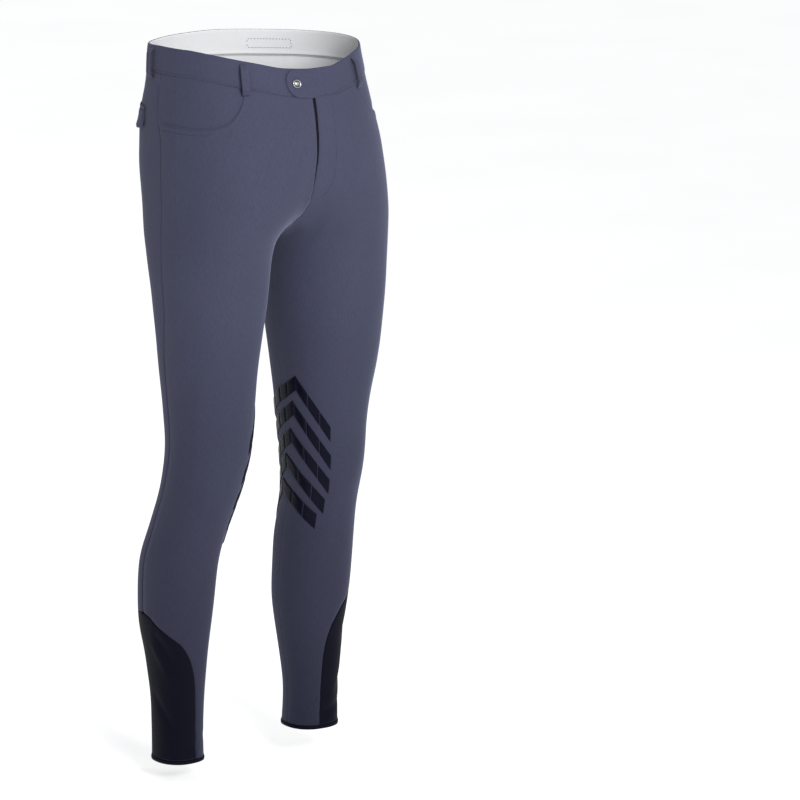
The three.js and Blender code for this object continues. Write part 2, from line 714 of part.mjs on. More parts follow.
// Turns of the panel columns that lie under the inside of the knee, at a height, front to back.
function kneeColumns(leg, z) {
  const [from, to] = frontEnds(leg, z, () => z);
  const [start, end] = innerEnds(leg, z, () => z);
  const inner = evenly(INNER_COLUMNS).map((f) => THREE.MathUtils.lerp(end, start, f) - 360);
  return [...frontTurns(from, to, z).reverse(), ...inner];
}

// Point on the flat faces of the panels, between their columns and levels.
function facetPoint(leg, turn, z) {
  const above = LOWER_LEVELS.filter((level) => level >= z).pop();
  const below = LOWER_LEVELS.find((level) => level < z);
  const onLevel = (level) => {
    const columns = kneeColumns(leg, level);
    const last = columns.length - 2;
    const i = Math.min(columns.findIndex((column, c) => c > 0 && column < turn) - 1, last);
    const at = Math.max(i, 0);
    const share = (turn - columns[at]) / (columns[at + 1] - columns[at]);
    return legPoint(leg, columns[at], level).lerp(legPoint(leg, columns[at + 1], level), share);
  };
  return onLevel(above).lerp(onLevel(below), (z - above) / (below - above));
}

// One knee grip: two arms that fall from a peak, the longer one towards the back of the leg.
function addGrip(leg, number, row) {
  const [peakTurn, peakZ, frontTurn, frontZ, backTurn, backZ] = row;
  const lineHeight = (turn) => (turn > peakTurn
    ? THREE.MathUtils.mapLinear(turn, peakTurn, frontTurn, peakZ, frontZ)
    : THREE.MathUtils.mapLinear(turn, peakTurn, backTurn, peakZ, backZ));
  const turns = [frontTurn, peakTurn, backTurn];
  kneeColumns(leg, peakZ).forEach((start, column) => {
    let turn = start;
    for (let i = 0; i < 5; i++) turn = kneeColumns(leg, lineHeight(turn) - GRIP_WIDTH / 2)[column];
    const isApart = turns.every((other) => Math.abs(other - turn) > 2);
    if (isApart && turn < frontTurn && turn > backTurn) turns.push(turn);
  });
  turns.sort((a, b) => b - a);
  const places = [0, 0.5, 1].map((share) => turns.map((turn) => (
    { leg, p: facetPoint(leg, turn, lineHeight(turn) - GRIP_WIDTH * share) }
  )));
  addMesh(`knee_grip_${leg}_${number}`, wallGeometry(places, GRIP_LIFT + GRIP_HEIGHT, GRIP_HEIGHT), SILICONE);
}

for (const leg of ['right', 'left']) {
  addFront(leg);
  addBack(leg);
  addInner(leg);
  addCalf(leg);
  addBinding(leg);
  addPocketFacing(leg);
  addBackPocket(leg);
  GRIPS.forEach((row, i) => addGrip(leg, i + 1, row));
}
addWaistband();
addFacing();
addFlyUnderlap();
for (const [name, leg, turn, base] of BELT_LOOPS) addBeltLoop(name, leg, turn, base);
const waistSeat = frontPlace(WAIST_BUTTON.x, frontRim(WAIST_BUTTON.x) - WAIST_BUTTON.below);
addButton('waist_button', waistSeat.leg, waistSeat.p, WAIST_BUTTON, TAB_LIFT + SEAM_GAP);

export default breeches;
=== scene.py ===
import math

import bpy
import numpy as np
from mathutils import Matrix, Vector


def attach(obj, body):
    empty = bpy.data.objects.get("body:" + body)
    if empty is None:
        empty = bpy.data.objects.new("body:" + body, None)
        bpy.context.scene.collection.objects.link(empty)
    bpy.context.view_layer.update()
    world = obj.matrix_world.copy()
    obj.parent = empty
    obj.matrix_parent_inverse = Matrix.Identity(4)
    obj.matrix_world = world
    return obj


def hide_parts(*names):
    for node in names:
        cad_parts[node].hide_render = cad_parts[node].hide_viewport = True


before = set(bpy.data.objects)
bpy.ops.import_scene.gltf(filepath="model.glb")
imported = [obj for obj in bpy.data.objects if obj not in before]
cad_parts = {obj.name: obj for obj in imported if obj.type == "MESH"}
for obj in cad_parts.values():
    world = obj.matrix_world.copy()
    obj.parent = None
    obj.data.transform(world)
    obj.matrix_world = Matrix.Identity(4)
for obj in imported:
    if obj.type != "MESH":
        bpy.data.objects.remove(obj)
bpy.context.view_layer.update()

# Men's riding breeches, worn shape with nobody inside.
# Lengths are millimetres here and become metres when a mesh is made. +Z is up, the front
# faces -Y, and the wearer's right is -X.

MM = 0.001
SIDE = {"right": -1, "left": 1}

# Cloth
WALL = 1.2
BAND_WALL = 1.6
BAND_DEPTH = 37
TAB_TIP = -37
TAB_ROUND = 17
TAB_LIFT = 2.3
GAP = 0.05
TUCK = 1.6
CALF_TOP = -786
SEAT_TOP = -107
SEAT_END = -862
FRONT_BASE = -128
HEM = {"right": -1003, "left": -983}
# How much higher the left calf panel starts
CALF_RAISE = {"right": 0, "left": 20}
BINDING = 5.5
WAIST_BUTTON_X = -24.5
WAIST_BUTTON_BELOW = 20.8
TAB_DROP = 2.6
# Radius and height of the buttons
FLAP_SNAP = (5.0, 2.6)
WAIST_SNAP = (6.0, 3.0)
# Reach and height of the underlap, and height of the near-black strip behind the seat seam that paints shade
# along it
UNDERLAP_REACH = (-22, 18)
UNDERLAP_HEIGHT = (-57.6, -188)
SEAT_SHADE_STRIP = (-112, -246)
# The fly: the height at which its turned edges have died out, its row of stitches with a curved end,
# and its rolls as [rise, distance, width]
FLY_FOOT = -205
FLY_ROW = 30.0
FLY_BEND = -160
FLY_BEND_DEPTH = 37
FLY_BEND_END = 8
FLY_ROLL = {"right": [-0.5, 6, 8], "left": [0.9, 7, 7]}
# The inside of a front or back panel is pale above this height, in metres
PALE_ABOVE = -0.11
# Painted shade: the jersey's colour darkens from the upper of these heights to the lower, in metres
SHADE_PAINT_TOP = -0.3
SHADE_PAINT_FOOT = -1.0

# A level section of one half is a rounded oval, and near the middle plane its ends turn in.
CROTCH_ROUND = 18
POWER = 2.25

# [height, reach outwards, reach inwards past the middle, reach forwards, reach backwards]
HIPS = [
    [30, 149, 158, 109, 124],
    [0, 149, 155, 108, 130],
    [-45, 154, 153, 114, 134],
    [-90, 160, 134, 127, 147],
    [-140, 166, 100, 131, 140],
    [-190, 171, 52, 125, 118],
    [-230, 173, 4, 116, 99],
    [-255, 174, -18, 107, 90],
]
LEGS = {
    "right": [
        [-280, 174, -21, 99, 81],
        [-330, 171, -26, 94, 71],
        [-390, 165, -33, 86, 65],
        [-450, 158, -37.5, 75, 63],
        [-500, 154, -39, 67, 58],
        [-550, 150, -41, 60, 58],
        [-600, 151, -46, 47, 64],
        [-660, 156, -55, 25, 84],
        [-720, 162, -63.5, 11, 103],
        [-790, 160, -66, 1, 108],
        [-860, 149, -73, -9, 98],
        [-930, 141, -76, -17, 92],
        [-1010, 138.5, -72, -22, 94],
    ],
    "left": [
        [-280, 176, -20, 101, 84],
        [-330, 176, -20.5, 95, 78],
        [-390, 173, -23, 89, 75],
        [-450, 170, -31, 75, 70],
        [-500, 166, -39, 61, 68],
        [-550, 164, -48, 50, 70],
        [-600, 166, -57, 39, 75],
        [-660, 167, -66, 19, 88],
        [-720, 170, -64.5, 8, 102],
        [-790, 167, -63.5, 2, 104],
        [-860, 157, -70, -6, 92],
        [-930, 150, -77, -9, 83],
        [-1010, 146, -70, -2, 81],
    ],
}
# [height, sideways shift]
LEAN = [[30, -5.8], [0, -5.8], [-45, -3.2], [-90, -2], [-140, 0], [-200, 0],
        [-500, 0], [-700, -1.5], [-850, -3.2], [-1010, -5]]

# The middle of the front leans back again: [height, shift], over this reach to either side
FRONT_SHIFT = [[30, 6.5], [-58, 6.5], [-100, 4.2], [-140, 1.5], [-170, 0], [-300, 0]]
FRONT_SHIFT_REACH = 55

# Seams by their turn round the section, in degrees: 0 is the front of a leg, 90 its outside,
# 180 its back and 270 its inside. [height, turn]
SIDE_SEAM = [[20, 92], [-40, 92], [-140, 89], [-240, 89.5], [-340, 91], [-430, 98], [-520, 98],
             [-600, 102], [-700, 101], [-786, 98]]
SEAT_SEAM = [[-107, 180.6], [-107.8, 179.6], [-110, 178.5], [-114, 177], [-128, 174], [-152, 172],
             [-182, 176], [-212, 184], [-242, 197], [-275, 204], [-305, 207], [-340, 209],
             [-400, 211], [-500, 208], [-620, 205], [-700, 207], [-800, 210], [-862, 212]]
CALF_FRONT = [[-786, 98], [-787.5, 91], [-792, 82], [-800, 71], [-812, 50], [-830, 22],
              [-862, 2], [-910, -7], [-955, -10], [-1010, -11]]
CALF_BACK = [[-786, 98], [-787.5, 122], [-792, 149], [-800, 170], [-812, 186], [-830, 199],
             [-862, 212], [-910, 217], [-955, 219], [-1010, 220]]
# Top of the band, [turn round the waist, height]
RIM = {
    "right": [[0, -20], [12, -16.5], [24, -9], [40, -1], [55, 5], [70, 8.5], [90, 9],
              [115, 6], [140, 4], [180, 4.5]],
    "left": [[0, -20], [12, -20], [24, -15], [40, -8.5], [55, -5], [70, -1], [90, 0],
             [115, -0.5], [140, 0], [180, 4.5]],
}
# Scooped edge of the front pocket, [turn, height]
SCOOP = [[33.5, -40], [35.2, -60], [38.2, -74], [42.5, -85], [49, -91.5], [57, -94.5], [66, -95.5],
         [75, -95], [84, -94.6], [92, -94.2]]
SCOOP_TURN = 33.5

# Half the width of the open fly at a height
FLY_GAP = [[30, 2.2], [-57, 2.2], [-110, 1.9], [-150, 1.1], [-180, 0.5], [-196, 0.05], [-300, 0.05]]

# Belt loops: [name, side, turn round the waist, lift of their sewn ends]
LOOPS = [
    ["loop_front_right", "right", 33, 0.8],
    ["loop_front_left", "left", 34, 0.6],
    ["loop_side_right", "right", 100, 0.6],
    ["loop_side_left", "left", 102, 0.6],
    ["loop_back_right", "right", 162, 1.2],
    ["loop_back_left", "left", 162, 1.2],
]
LOOP_RISE = 6.4

# Back pocket, in shares of the back panel's width at a height
FLAP = {"start": 0.182, "point": 0.545, "end": 0.79, "top": -84.5, "corner": -106, "tip": -118}
FLAP_BUTTON_BELOW = 23
FLAP_SOFT = 0.03
WELT_DEPTH = 5

# Knee grips: [turn and height of the peak, turn and height of the front end, of the back end]
GRIPS = [
    [-69, -460, -22, -536, -137, -520],
    [-75, -498, -21, -579, -145, -563],
    [-82, -540, -21, -616, -149, -606],
    [-93, -580, -25, -646, -149, -645],
    [-103, -620, -35, -668, -148, -679],
]
# How much further round the right leg's grips sit
GRIP_TURN = {"right": -13, "left": 0}
GRIP_WIDTH = 21.8
GRIP_PITCH = 17
GRIP_SPLIT = 1.0
GRIP_FOOT = 0.35
GRIP_TOP = 1.35

# Distances from a seam at which a panel has columns, so that its edge can round over
EDGE_MARKS = np.array([0, 0.5, 1.1, 1.9, 3, 4.6, 7])
ROW_SAMPLES = 321
# The turn of a back panel that stays in place while its rows shift to meet the seams
BACK_KEPT_TURN = 135.0
# Sideways place of a leg's middle, from which its pieces face away
LEG_MIDDLE = 100.0


def smooth_table(rows):
    """Smooth line through the rows, without overshoot."""
    table = np.array(sorted(rows), float)
    x, y = table[:, 0], table[:, 1:]
    rise = np.diff(y, axis=0) / np.diff(x)[:, None]
    slope = np.zeros_like(y)
    slope[0], slope[-1] = rise[0], rise[-1]
    product, total = rise[:-1] * rise[1:], rise[:-1] + rise[1:]
    slope[1:-1] = np.where(product > 0, 2 * product / np.where(total == 0, 1, total), 0)

    def at(where):
        w = np.clip(np.asarray(where, float), x[0], x[-1])
        i = np.clip(np.searchsorted(x, w, side="right") - 1, 0, len(x) - 2)
        span = x[i + 1] - x[i]
        t = ((w - x[i]) / span)[..., None]
        span = span[..., None]
        start = (1 + 2 * t) * (1 - t) ** 2 * y[i] + t * (1 - t) ** 2 * span * slope[i]
        return start + t * t * (3 - 2 * t) * y[i + 1] + t * t * (t - 1) * span * slope[i + 1]

    return at


def line_table(rows):
    """Smooth single value by height or turn."""
    at = smooth_table(rows)
    return lambda where: at(where)[..., 0]


LEVELS = np.arange(-1014, 34, 2.0)
SOFT_SAMPLES = 6


def softened(rows):
    """The section table at every level, with its bends rounded."""
    values = smooth_table(rows)(LEVELS)
    reach = 3 * SOFT_SAMPLES
    head = 2 * values[0] - values[reach:0:-1]
    tail = 2 * values[-1] - values[-2:-reach - 2:-1]
    long = np.concatenate([head, values, tail])
    weights = np.exp(-0.5 * (np.arange(-reach, reach + 1) / SOFT_SAMPLES) ** 2)
    weights /= weights.sum()
    return np.stack([np.convolve(long[:, k], weights, "valid") for k in range(long.shape[1])], -1)


SECTIONS = {leg: softened(HIPS + LEGS[leg]) for leg in LEGS}
lean_at = line_table(LEAN)
front_shift = line_table(FRONT_SHIFT)
rim_at = {leg: line_table(RIM[leg]) for leg in RIM}
side_seam = line_table(SIDE_SEAM)
seat_seam = line_table(SEAT_SEAM)
calf_front_line = line_table(CALF_FRONT)
calf_back_line = line_table(CALF_BACK)
scoop_height = line_table(SCOOP)
fly_gap = line_table(FLY_GAP)


def calf_front(leg):
    return lambda z: calf_front_line(z - CALF_RAISE[leg])


def calf_back(leg):
    return lambda z: calf_back_line(z - CALF_RAISE[leg])


def calf_top(leg):
    return CALF_TOP + CALF_RAISE[leg]


def seat_end(leg):
    return SEAT_END + CALF_RAISE[leg]


def bent(value, power=2 / POWER):
    """A power of a value that keeps its sign."""
    return np.sign(value) * np.abs(value) ** power


def section(leg, z):
    """Reach outwards, then middle and half width sideways, then both from front to back."""
    out, into, front, back = (np.interp(z, LEVELS, SECTIONS[leg][:, k]) for k in range(4))
    reach = np.hypot(out, CROTCH_ROUND)
    return out, (reach - into) / 2, (reach + into) / 2, (back - front) / 2, (front + back) / 2


def leg_point(leg, turn, z):
    """Points at turns round one half or leg."""
    turn, z = np.broadcast_arrays(np.asarray(turn, float), np.asarray(z, float))
    out, mid_x, half_x, mid_y, half_y = section(leg, z)
    angle = np.radians(turn)
    across = mid_x + half_x * bent(np.sin(angle))
    x = np.sqrt(np.maximum(across ** 2 - CROTCH_ROUND ** 2, 0))
    return np.stack([SIDE[leg] * x, mid_y - half_y * bent(np.cos(angle)), z], -1)


def reach_point(leg, x, z, is_front):
    """Points at a distance from the middle plane, on the front or the back."""
    x, z, is_front = np.broadcast_arrays(x, np.asarray(z, float), is_front)
    out, mid_x, half_x, mid_y, half_y = section(leg, z)
    across = np.minimum(np.abs((np.hypot(x, CROTCH_ROUND) - mid_x) / half_x), 1)
    y = half_y * (1 - across ** POWER) ** (1 / POWER)
    return np.stack([SIDE[leg] * x, mid_y + np.where(is_front, -y, y), z], -1)


def waist_point(leg, turn, z):
    """Points round the whole waist: 0 is the middle of the front, 180 that of the back."""
    turn, z = np.broadcast_arrays(np.asarray(turn, float), np.asarray(z, float))
    x = np.abs(section(leg, z)[0] * bent(np.sin(np.radians(turn))))
    return reach_point(leg, x, z, turn < 90)


def waist_turn(leg, p):
    out, _, _, mid_y, _ = section(leg, p[..., 2])
    turn = np.degrees(np.arcsin(np.minimum(np.abs(p[..., 0]) / out, 1) ** (POWER / 2)))
    return np.where(p[..., 1] < mid_y, turn, 180 - turn)


def turn_at_reach(x):
    out = section("right", -20.0)[0]
    return np.degrees(np.arcsin((np.abs(x) / out) ** (POWER / 2)))


def front_rim(x):
    turn = turn_at_reach(x)
    return np.where(x < 0, rim_at["right"](turn), rim_at["left"](turn))


def band_seam(leg, turn):
    """Height of the band's lower seam over a turn round one half."""
    z = -BAND_DEPTH
    for _ in range(4):
        z = rim_at[leg](waist_turn(leg, leg_point(leg, turn, z))) - BAND_DEPTH
    return z


def field(leg, x, y, z):
    """1 on the form, less inside it and more outside."""
    _, mid_x, half_x, mid_y, half_y = section(leg, z)
    across = np.abs((np.hypot(x, CROTCH_ROUND) - mid_x) / half_x)
    return across ** POWER + np.abs((y - mid_y) / half_y) ** POWER


def normal_at(leg, p):
    """Outward direction of the form at its points."""
    h = 0.2
    x, y, z = np.abs(p[..., 0]), p[..., 1], p[..., 2]
    slope = np.stack([
        SIDE[leg] * (field(leg, x + h, y, z) - field(leg, np.maximum(x - h, 0), y, z)),
        field(leg, x, y + h, z) - field(leg, x, y - h, z),
        (field(leg, x, y, z + 2) - field(leg, x, y, z - 2)) * h / 2,
    ], -1)
    return slope / np.maximum(np.linalg.norm(slope, axis=-1, keepdims=True), 1e-9)


def middle_turn(leg, z, x=0.0):
    """Turn at which the front of a half is x away from the middle plane, or -90 below."""
    _, mid_x, half_x, _, _ = section(leg, z)
    share = (np.hypot(x, CROTCH_ROUND) - mid_x) / half_x
    turn = np.degrees(np.arcsin(np.clip(bent(share, POWER / 2), -1, 1)))
    return np.where(share <= -1, -90, turn)


def turn_of(leg, p):
    """Turn of a point on the form."""
    _, mid_x, half_x, mid_y, _ = section(leg, p[..., 2])
    share = (np.hypot(p[..., 0], CROTCH_ROUND) - mid_x) / half_x
    turn = np.degrees(np.arcsin(np.clip(bent(share, POWER / 2), -1, 1)))
    return np.where(p[..., 1] < mid_y, turn, 180 - turn)


def smoothstep(value):
    t = np.clip(value, 0, 1)
    return t * t * (3 - 2 * t)


def level_way(normal):
    """The level direction across a normal."""
    way = np.cross([0, 0, 1], normal)
    return way / np.linalg.norm(way)


def bell(distance, width):
    """1 on a line, dying out to both sides of it."""
    return np.exp(-(distance / width) ** 2)


def run_of(path):
    """Length of a path up to each of its points."""
    return np.concatenate([[0], np.cumsum(np.linalg.norm(np.diff(path, axis=0), axis=1))])


# Creases and seams

def nearest(points, line, reach):
    """Distance of points from a line, and how far along the line they are, 0 to 1."""
    flat = points.reshape(-1, 3)
    distance = np.full(len(flat), 1e3)
    along = np.zeros(len(flat))
    low, high = line.min(0) - reach, line.max(0) + reach
    close = np.nonzero(((flat > low) & (flat < high)).all(1))[0]
    start, step = line[:-1], np.diff(line, axis=0)
    size = (step ** 2).sum(1)
    for block in np.array_split(close, max(len(close) // 800, 1)):
        if not len(block):
            continue
        offset = flat[block][:, None] - start[None]
        t = np.clip((offset * step).sum(2) / size, 0, 1)
        gap = ((offset - t[..., None] * step) ** 2).sum(2)
        best = gap.argmin(1)
        rows = np.arange(len(block))
        distance[block] = np.sqrt(gap[rows, best])
        along[block] = (best + t[rows, best]) / len(start)
    return distance.reshape(points.shape[:-1]), along.reshape(points.shape[:-1])


def seam_line(leg, seam, top, bottom):
    z = np.arange(top, bottom, -3.0)
    return leg_point(leg, seam(z), z)


def middle_line(leg, is_front, top, bottom):
    z = np.arange(top, bottom, -3.0)
    turn = middle_turn(leg, z)
    return leg_point(leg, turn if is_front else 180 - turn, z)


# Seam rolls: [line, depth, width]
def seams_of(leg):
    return [
        [seam_line(leg, side_seam, 20, calf_top(leg) - 2), 0.95, 1.4],
        [seam_line(leg, seat_seam, SEAT_TOP, seat_end(leg)), 0.8, 1.4],
        [seam_line(leg, calf_front(leg), calf_top(leg), -1010), 0.9, 1.3],
        [seam_line(leg, calf_back(leg), calf_top(leg), -1010), 0.9, 1.3],
        [seam_line(leg, lambda z: 270 + 0 * z, -275, -1010), 0.2, 1.2],
        [middle_line(leg, True, -190, -262), 0.7, 1.4],
        [middle_line(leg, False, 10, -150), 0.9, 1.5],
    ]


# Folds of the cloth: [side, [(turn, height), ...], rise, width]. A minus rise is a valley.
FOLDS = [
    # the crotch, fanning out to the inner thighs
    ["left", [(-30, -205), (-52, -232), (-70, -262)], -2.2, 7],
    ["left", [(-20, -215), (-38, -250), (-55, -290)], 1.4, 8],
    ["right", [(-30, -205), (-50, -232), (-68, -262)], -2.0, 7],
    ["left", [(200, -205), (222, -232), (250, -262)], -2.4, 6],
    ["left", [(196, -222), (214, -252), (238, -292)], -1.6, 6],
    ["left", [(192, -238), (206, -270), (224, -318)], -1.1, 7],
    ["right", [(200, -205), (222, -232), (250, -262)], -2.2, 6],
    ["right", [(194, -226), (212, -256), (236, -296)], -1.4, 6],
    # the outside of the thigh and the knee
    ["right", [(58, -420), (64, -470), (72, -540), (76, -590)], -1.6, 11],
    ["right", [(44, -440), (50, -500), (57, -560)], 1.1, 14],
    ["left", [(40, -430), (46, -490), (54, -560)], -0.9, 13],
    # the back of the knee
    ["right", [(140, -560), (165, -575), (195, -560)], -1.5, 8],
    ["left", [(140, -572), (165, -588), (195, -570)], -1.5, 8],
    ["right", [(150, -600), (172, -610), (200, -598)], -1.1, 7],
    ["left", [(150, -612), (172, -622), (200, -608)], -1.1, 7],
    # the calf panels
    ["right", [(78, -812), (60, -832), (38, -866)], -2.0, 5.5],
    ["right", [(88, -826), (70, -850), (46, -890)], 1.4, 6],
    ["right", [(100, -900), (70, -930), (30, -962)], -1.8, 7],
    ["right", [(60, -962), (20, -976), (-20, -980)], -2.0, 5.5],
    ["left", [(78, -812), (60, -832), (38, -866)], -2.0, 5.5],
    ["left", [(90, -890), (60, -912), (20, -946)], -1.8, 7],
    ["left", [(60, -944), (20, -956), (-20, -962)], -2.0, 5.5],
    ["right", [(0, -940), (-30, -962), (-70, -972)], -0.8, 6],
    ["left", [(0, -920), (-30, -942), (-70, -952)], -0.8, 6],
]
# The darts above the back pockets
DARTS = [
    ["right", [(134, -30), (134.5, -50), (135, -70)], -1.3, 1.3],
    ["left", [(134, -34), (134.5, -54), (135, -72)], -1.3, 1.3],
]


def fold_line(leg, knots, rise, width):
    rows = [[i / (len(knots) - 1), turn, z] for i, (turn, z) in enumerate(knots)]
    path = smooth_table(rows)(np.linspace(0, 1, 25))
    return [leg, leg_point(leg, path[:, 0], path[:, 1]), rise, width]


FOLD_LINES = [fold_line(*fold) for fold in FOLDS + DARTS]
SEAM_LINES = {leg: seams_of(leg) for leg in SIDE}


def ease(leg, p):
    """Shallow unevenness of worn cloth, the same on both sides of every seam."""
    x, y, z = p[..., 0], p[..., 1], p[..., 2]
    shift = 0.7 if leg == "left" else 0
    slow = np.sin(0.052 * x + 0.021 * z + shift) * np.sin(0.047 * y - 0.013 * z + 1.3 + shift)
    quick = np.sin(0.13 * x - 0.034 * z + 2.1) * np.sin(0.11 * y + 0.045 * z + shift)
    return 0.42 * slow + 0.16 * quick


def relief(leg, p, with_seams=True):
    """How far the cloth stands off the even form."""
    rise = ease(leg, p)
    for side, line, height, width in FOLD_LINES:
        if side != leg:
            continue
        distance, along = nearest(p, line, 3 * width)
        rise += height * bell(distance, width) * np.sin(math.pi * along) ** 0.6
    if with_seams:
        for line, depth, width in SEAM_LINES[leg]:
            distance, _ = nearest(p, line, 4 * width)
            rise -= depth * bell(distance, width)
    return rise


# Meshes

def make_mesh(name, points, faces, materials, face_slots=None):
    """A smooth-shaded piece that rides the body, from points in millimetres."""
    mesh = bpy.data.meshes.new(name)
    mesh.from_pydata((points * MM).tolist(), [], faces)
    for material in materials:
        mesh.materials.append(material)
    if face_slots is not None:
        mesh.polygons.foreach_set("material_index", face_slots)
    mesh.polygons.foreach_set("use_smooth", [True] * len(mesh.polygons))
    mesh.update()
    piece = bpy.data.objects.new(name, mesh)
    bpy.context.scene.collection.objects.link(piece)
    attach(piece, "root")
    return piece


def leaned(points):
    """Points with the lean of the legs and the slant of the middle of the front."""
    points = np.array(points, float)
    middle = bell(points[..., 0], FRONT_SHIFT_REACH) * (points[..., 1] < 0)
    points[..., 0] += lean_at(points[..., 2]) + front_shift(points[..., 2]) * middle
    return points


def own_side(leg, points):
    """Keeps points on their own side of the middle plane, and closes the seam along it."""
    points = points.copy()
    side = SIDE[leg]
    reach = side * points[..., 0]
    reach -= 0.5 * bell(reach, 1)
    points[..., 0] = side * np.maximum(reach, GAP)
    return points


def slab_faces(rows, columns, ring=False):
    """Faces of an outer grid, of the inner grid that follows it, and of the edges between them."""
    size = rows * columns
    r, c = np.meshgrid(np.arange(rows - 1), np.arange(columns if ring else columns - 1), indexing="ij")
    a = (r * columns + c).ravel()
    b = (r * columns + (c + 1) % columns).ravel()
    out_faces = np.stack([a, a + columns, b + columns, b], -1)
    in_faces = out_faces[:, ::-1] + size
    top = np.arange(columns)
    bottom = top + (rows - 1) * columns
    left = np.arange(rows) * columns
    edges = [(top, False), (bottom, True)]
    if not ring:
        edges += [(left, True), (left + columns - 1, False)]
    rim = []
    for line, is_reversed in edges:
        start, end = line, np.roll(line, -1)
        if not ring:
            start, end = line[:-1], line[1:]
        quad = np.stack([start, end, end + size, start + size], -1)
        rim.append(quad[:, ::-1] if is_reversed else quad)
    return out_faces, in_faces, np.concatenate(rim)


def shell(name, outer, inner, centre, materials, ring=False):
    """A cloth piece with an outer and an inner layer, closed all round and facing off a centre."""
    outer, inner = np.array(outer), np.array(inner)
    if not facing_out(outer, np.array(centre)):
        outer, inner = outer[:, ::-1], inner[:, ::-1]
    out_faces, in_faces, rim = slab_faces(*outer.shape[:2], ring)
    slots = np.zeros(2 * len(out_faces) + len(rim), int)
    slots[len(out_faces):2 * len(out_faces)] = 1 if len(materials) > 1 else 0
    points = np.concatenate([outer.reshape(-1, 3), inner.reshape(-1, 3)])
    faces = np.concatenate([out_faces, in_faces, rim]).tolist()
    return make_mesh(name, leaned(points), faces, materials, slots.tolist())


def facing_out(outer, centre):
    """Whether a grid's own winding faces away from a centre."""
    a = outer[1:, :-1] - outer[:-1, :-1]
    b = outer[:-1, 1:] - outer[:-1, :-1]
    way = np.cross(a, b)
    return (way * (outer[:-1, :-1] - centre)).sum() > 0


def cloth(name, leg, base, materials, lift=0.0, wall=WALL, extra=0.0, with_seams=True):
    """A panel on the form, with its folds and seam rolls."""
    normal = normal_at(leg, base)
    rise = relief(leg, base, with_seams) + lift + extra
    outer = own_side(leg, base + normal * rise[..., None])
    inner = own_side(leg, base + normal * (rise - wall)[..., None])
    return shell(name, outer, inner, [SIDE[leg] * LEG_MIDDLE, 0, base[..., 2].mean()], materials)


def marked(total, count):
    """Places along a row, dense at both ends."""
    marks = EDGE_MARKS * min(1.0, total / (3 * EDGE_MARKS[-1]))
    middle = np.linspace(marks[-1], total - marks[-1], count)[1:-1]
    return np.concatenate([marks, middle, total - marks[::-1]])


def row_run(leg, start, end, z):
    """Turns along a level row, and the row's length up to each of them."""
    turns = np.linspace(start, end, ROW_SAMPLES)
    return turns, run_of(leg_point(leg, turns, z))


def spread(leg, start, end, z, places):
    """Turns whose points lie at the given shares of a level row's length."""
    turns, run = row_run(leg, start, end, z)
    return np.interp(np.asarray(places) * run[-1], run, turns)


def row_shares(leg, start, end, z, count):
    total = row_run(leg, start, end, z)[1][-1]
    return marked(total, count) / total


def half_gap(leg, turn, z, slant=0.0):
    """Half a seam gap as a turn."""
    speed = np.linalg.norm(leg_point(leg, turn + 0.5, z) - leg_point(leg, turn - 0.5, z))
    return GAP * math.hypot(1, slant * speed) / max(speed, 0.05)


def panel_edge(leg, seam, z, way):
    """Turn of a panel's edge on one side of a seam."""
    turn = float(seam(z))
    slant = float(seam(z + 0.5) - seam(z - 0.5))
    return turn + way * half_gap(leg, turn, z, slant)


def front_ends(leg, z):
    start = float(middle_turn(leg, z, float(fly_gap(z))))
    if start <= -90:
        start = -90 + half_gap(leg, -90, z)
    return start, panel_edge(leg, side_seam if z > calf_top(leg) else calf_front(leg), z, -1)


def back_ends(leg, z):
    start = panel_edge(leg, side_seam if z > calf_top(leg) else calf_back(leg), z, 1)
    if z >= SEAT_TOP:
        return start, 180 - float(middle_turn(leg, z, GAP))
    return start, panel_edge(leg, seat_seam, z, -1)


def inner_ends(leg, z):
    start = panel_edge(leg, seat_seam if z > seat_end(leg) else calf_back(leg), z, 1)
    end = 180 - float(middle_turn(leg, z, GAP))
    if end >= 270:
        end = 270 - half_gap(leg, 270, z)
    return start, max(end, start + 0.05)


def calf_ends(leg, z):
    return panel_edge(leg, calf_front(leg), z, 1), panel_edge(leg, calf_back(leg), z, -1)


def levels_between(leg, top, bottom):
    """Heights of a panel's rows, dense where seams run slantwise and at the hem."""
    calf, end = calf_top(leg), seat_end(leg)
    z = np.concatenate([
        np.arange(SEAT_TOP, -114, -0.7), np.arange(-114, FRONT_BASE, -1.75),
        np.arange(FRONT_BASE, calf, -4.5), np.arange(calf - 0.2, calf - 16, -1.0),
        np.arange(calf - 16, end, -2.5), np.arange(end, -1010, -4.5),
    ])
    z = z[(z < top - 0.3) & (z > bottom + 6)]
    foot = bottom + np.array([5, 3, 1.8, 0.9, 0.3, 0])
    return np.concatenate([[top], z, foot])


def grid_rows(leg, ends, levels, shares):
    rows = []
    for z in levels:
        start, end = ends(leg, z)
        rows.append(leg_point(leg, spread(leg, start, end, z, shares), z))
    return np.array(rows)


def moved_turns(base_turns, ends, fixed_turn):
    """Turns of a row whose ends have moved along their seams, with one turn kept."""
    first, last = base_turns[0], base_turns[-1]
    near_start = np.clip((fixed_turn - base_turns) / (fixed_turn - first), 0, 1)
    near_end = np.clip((base_turns - fixed_turn) / (last - fixed_turn), 0, 1)
    return base_turns + (ends[0] - first) * near_start + (ends[1] - last) * near_end


def top_rows(leg, base_turns, base_z, top_heights, ends_at, fixed_turn, count):
    """Rows from a curved top edge down to a level row, keeping their ends on their seams."""
    shares = np.linspace(0, 1, count) ** 1.5
    shares = np.concatenate([[0, 0.006, 0.014, 0.026], shares[shares > 0.035]])[:-1]
    rows = []
    for share in shares:
        z = top_heights + (base_z - top_heights) * share
        rows.append(leg_point(leg, moved_turns(base_turns, ends_at(z[0], z[-1]), fixed_turn), z))
    return np.array(rows)


def hem_bottom(leg):
    return HEM[leg] + BINDING + 0.1


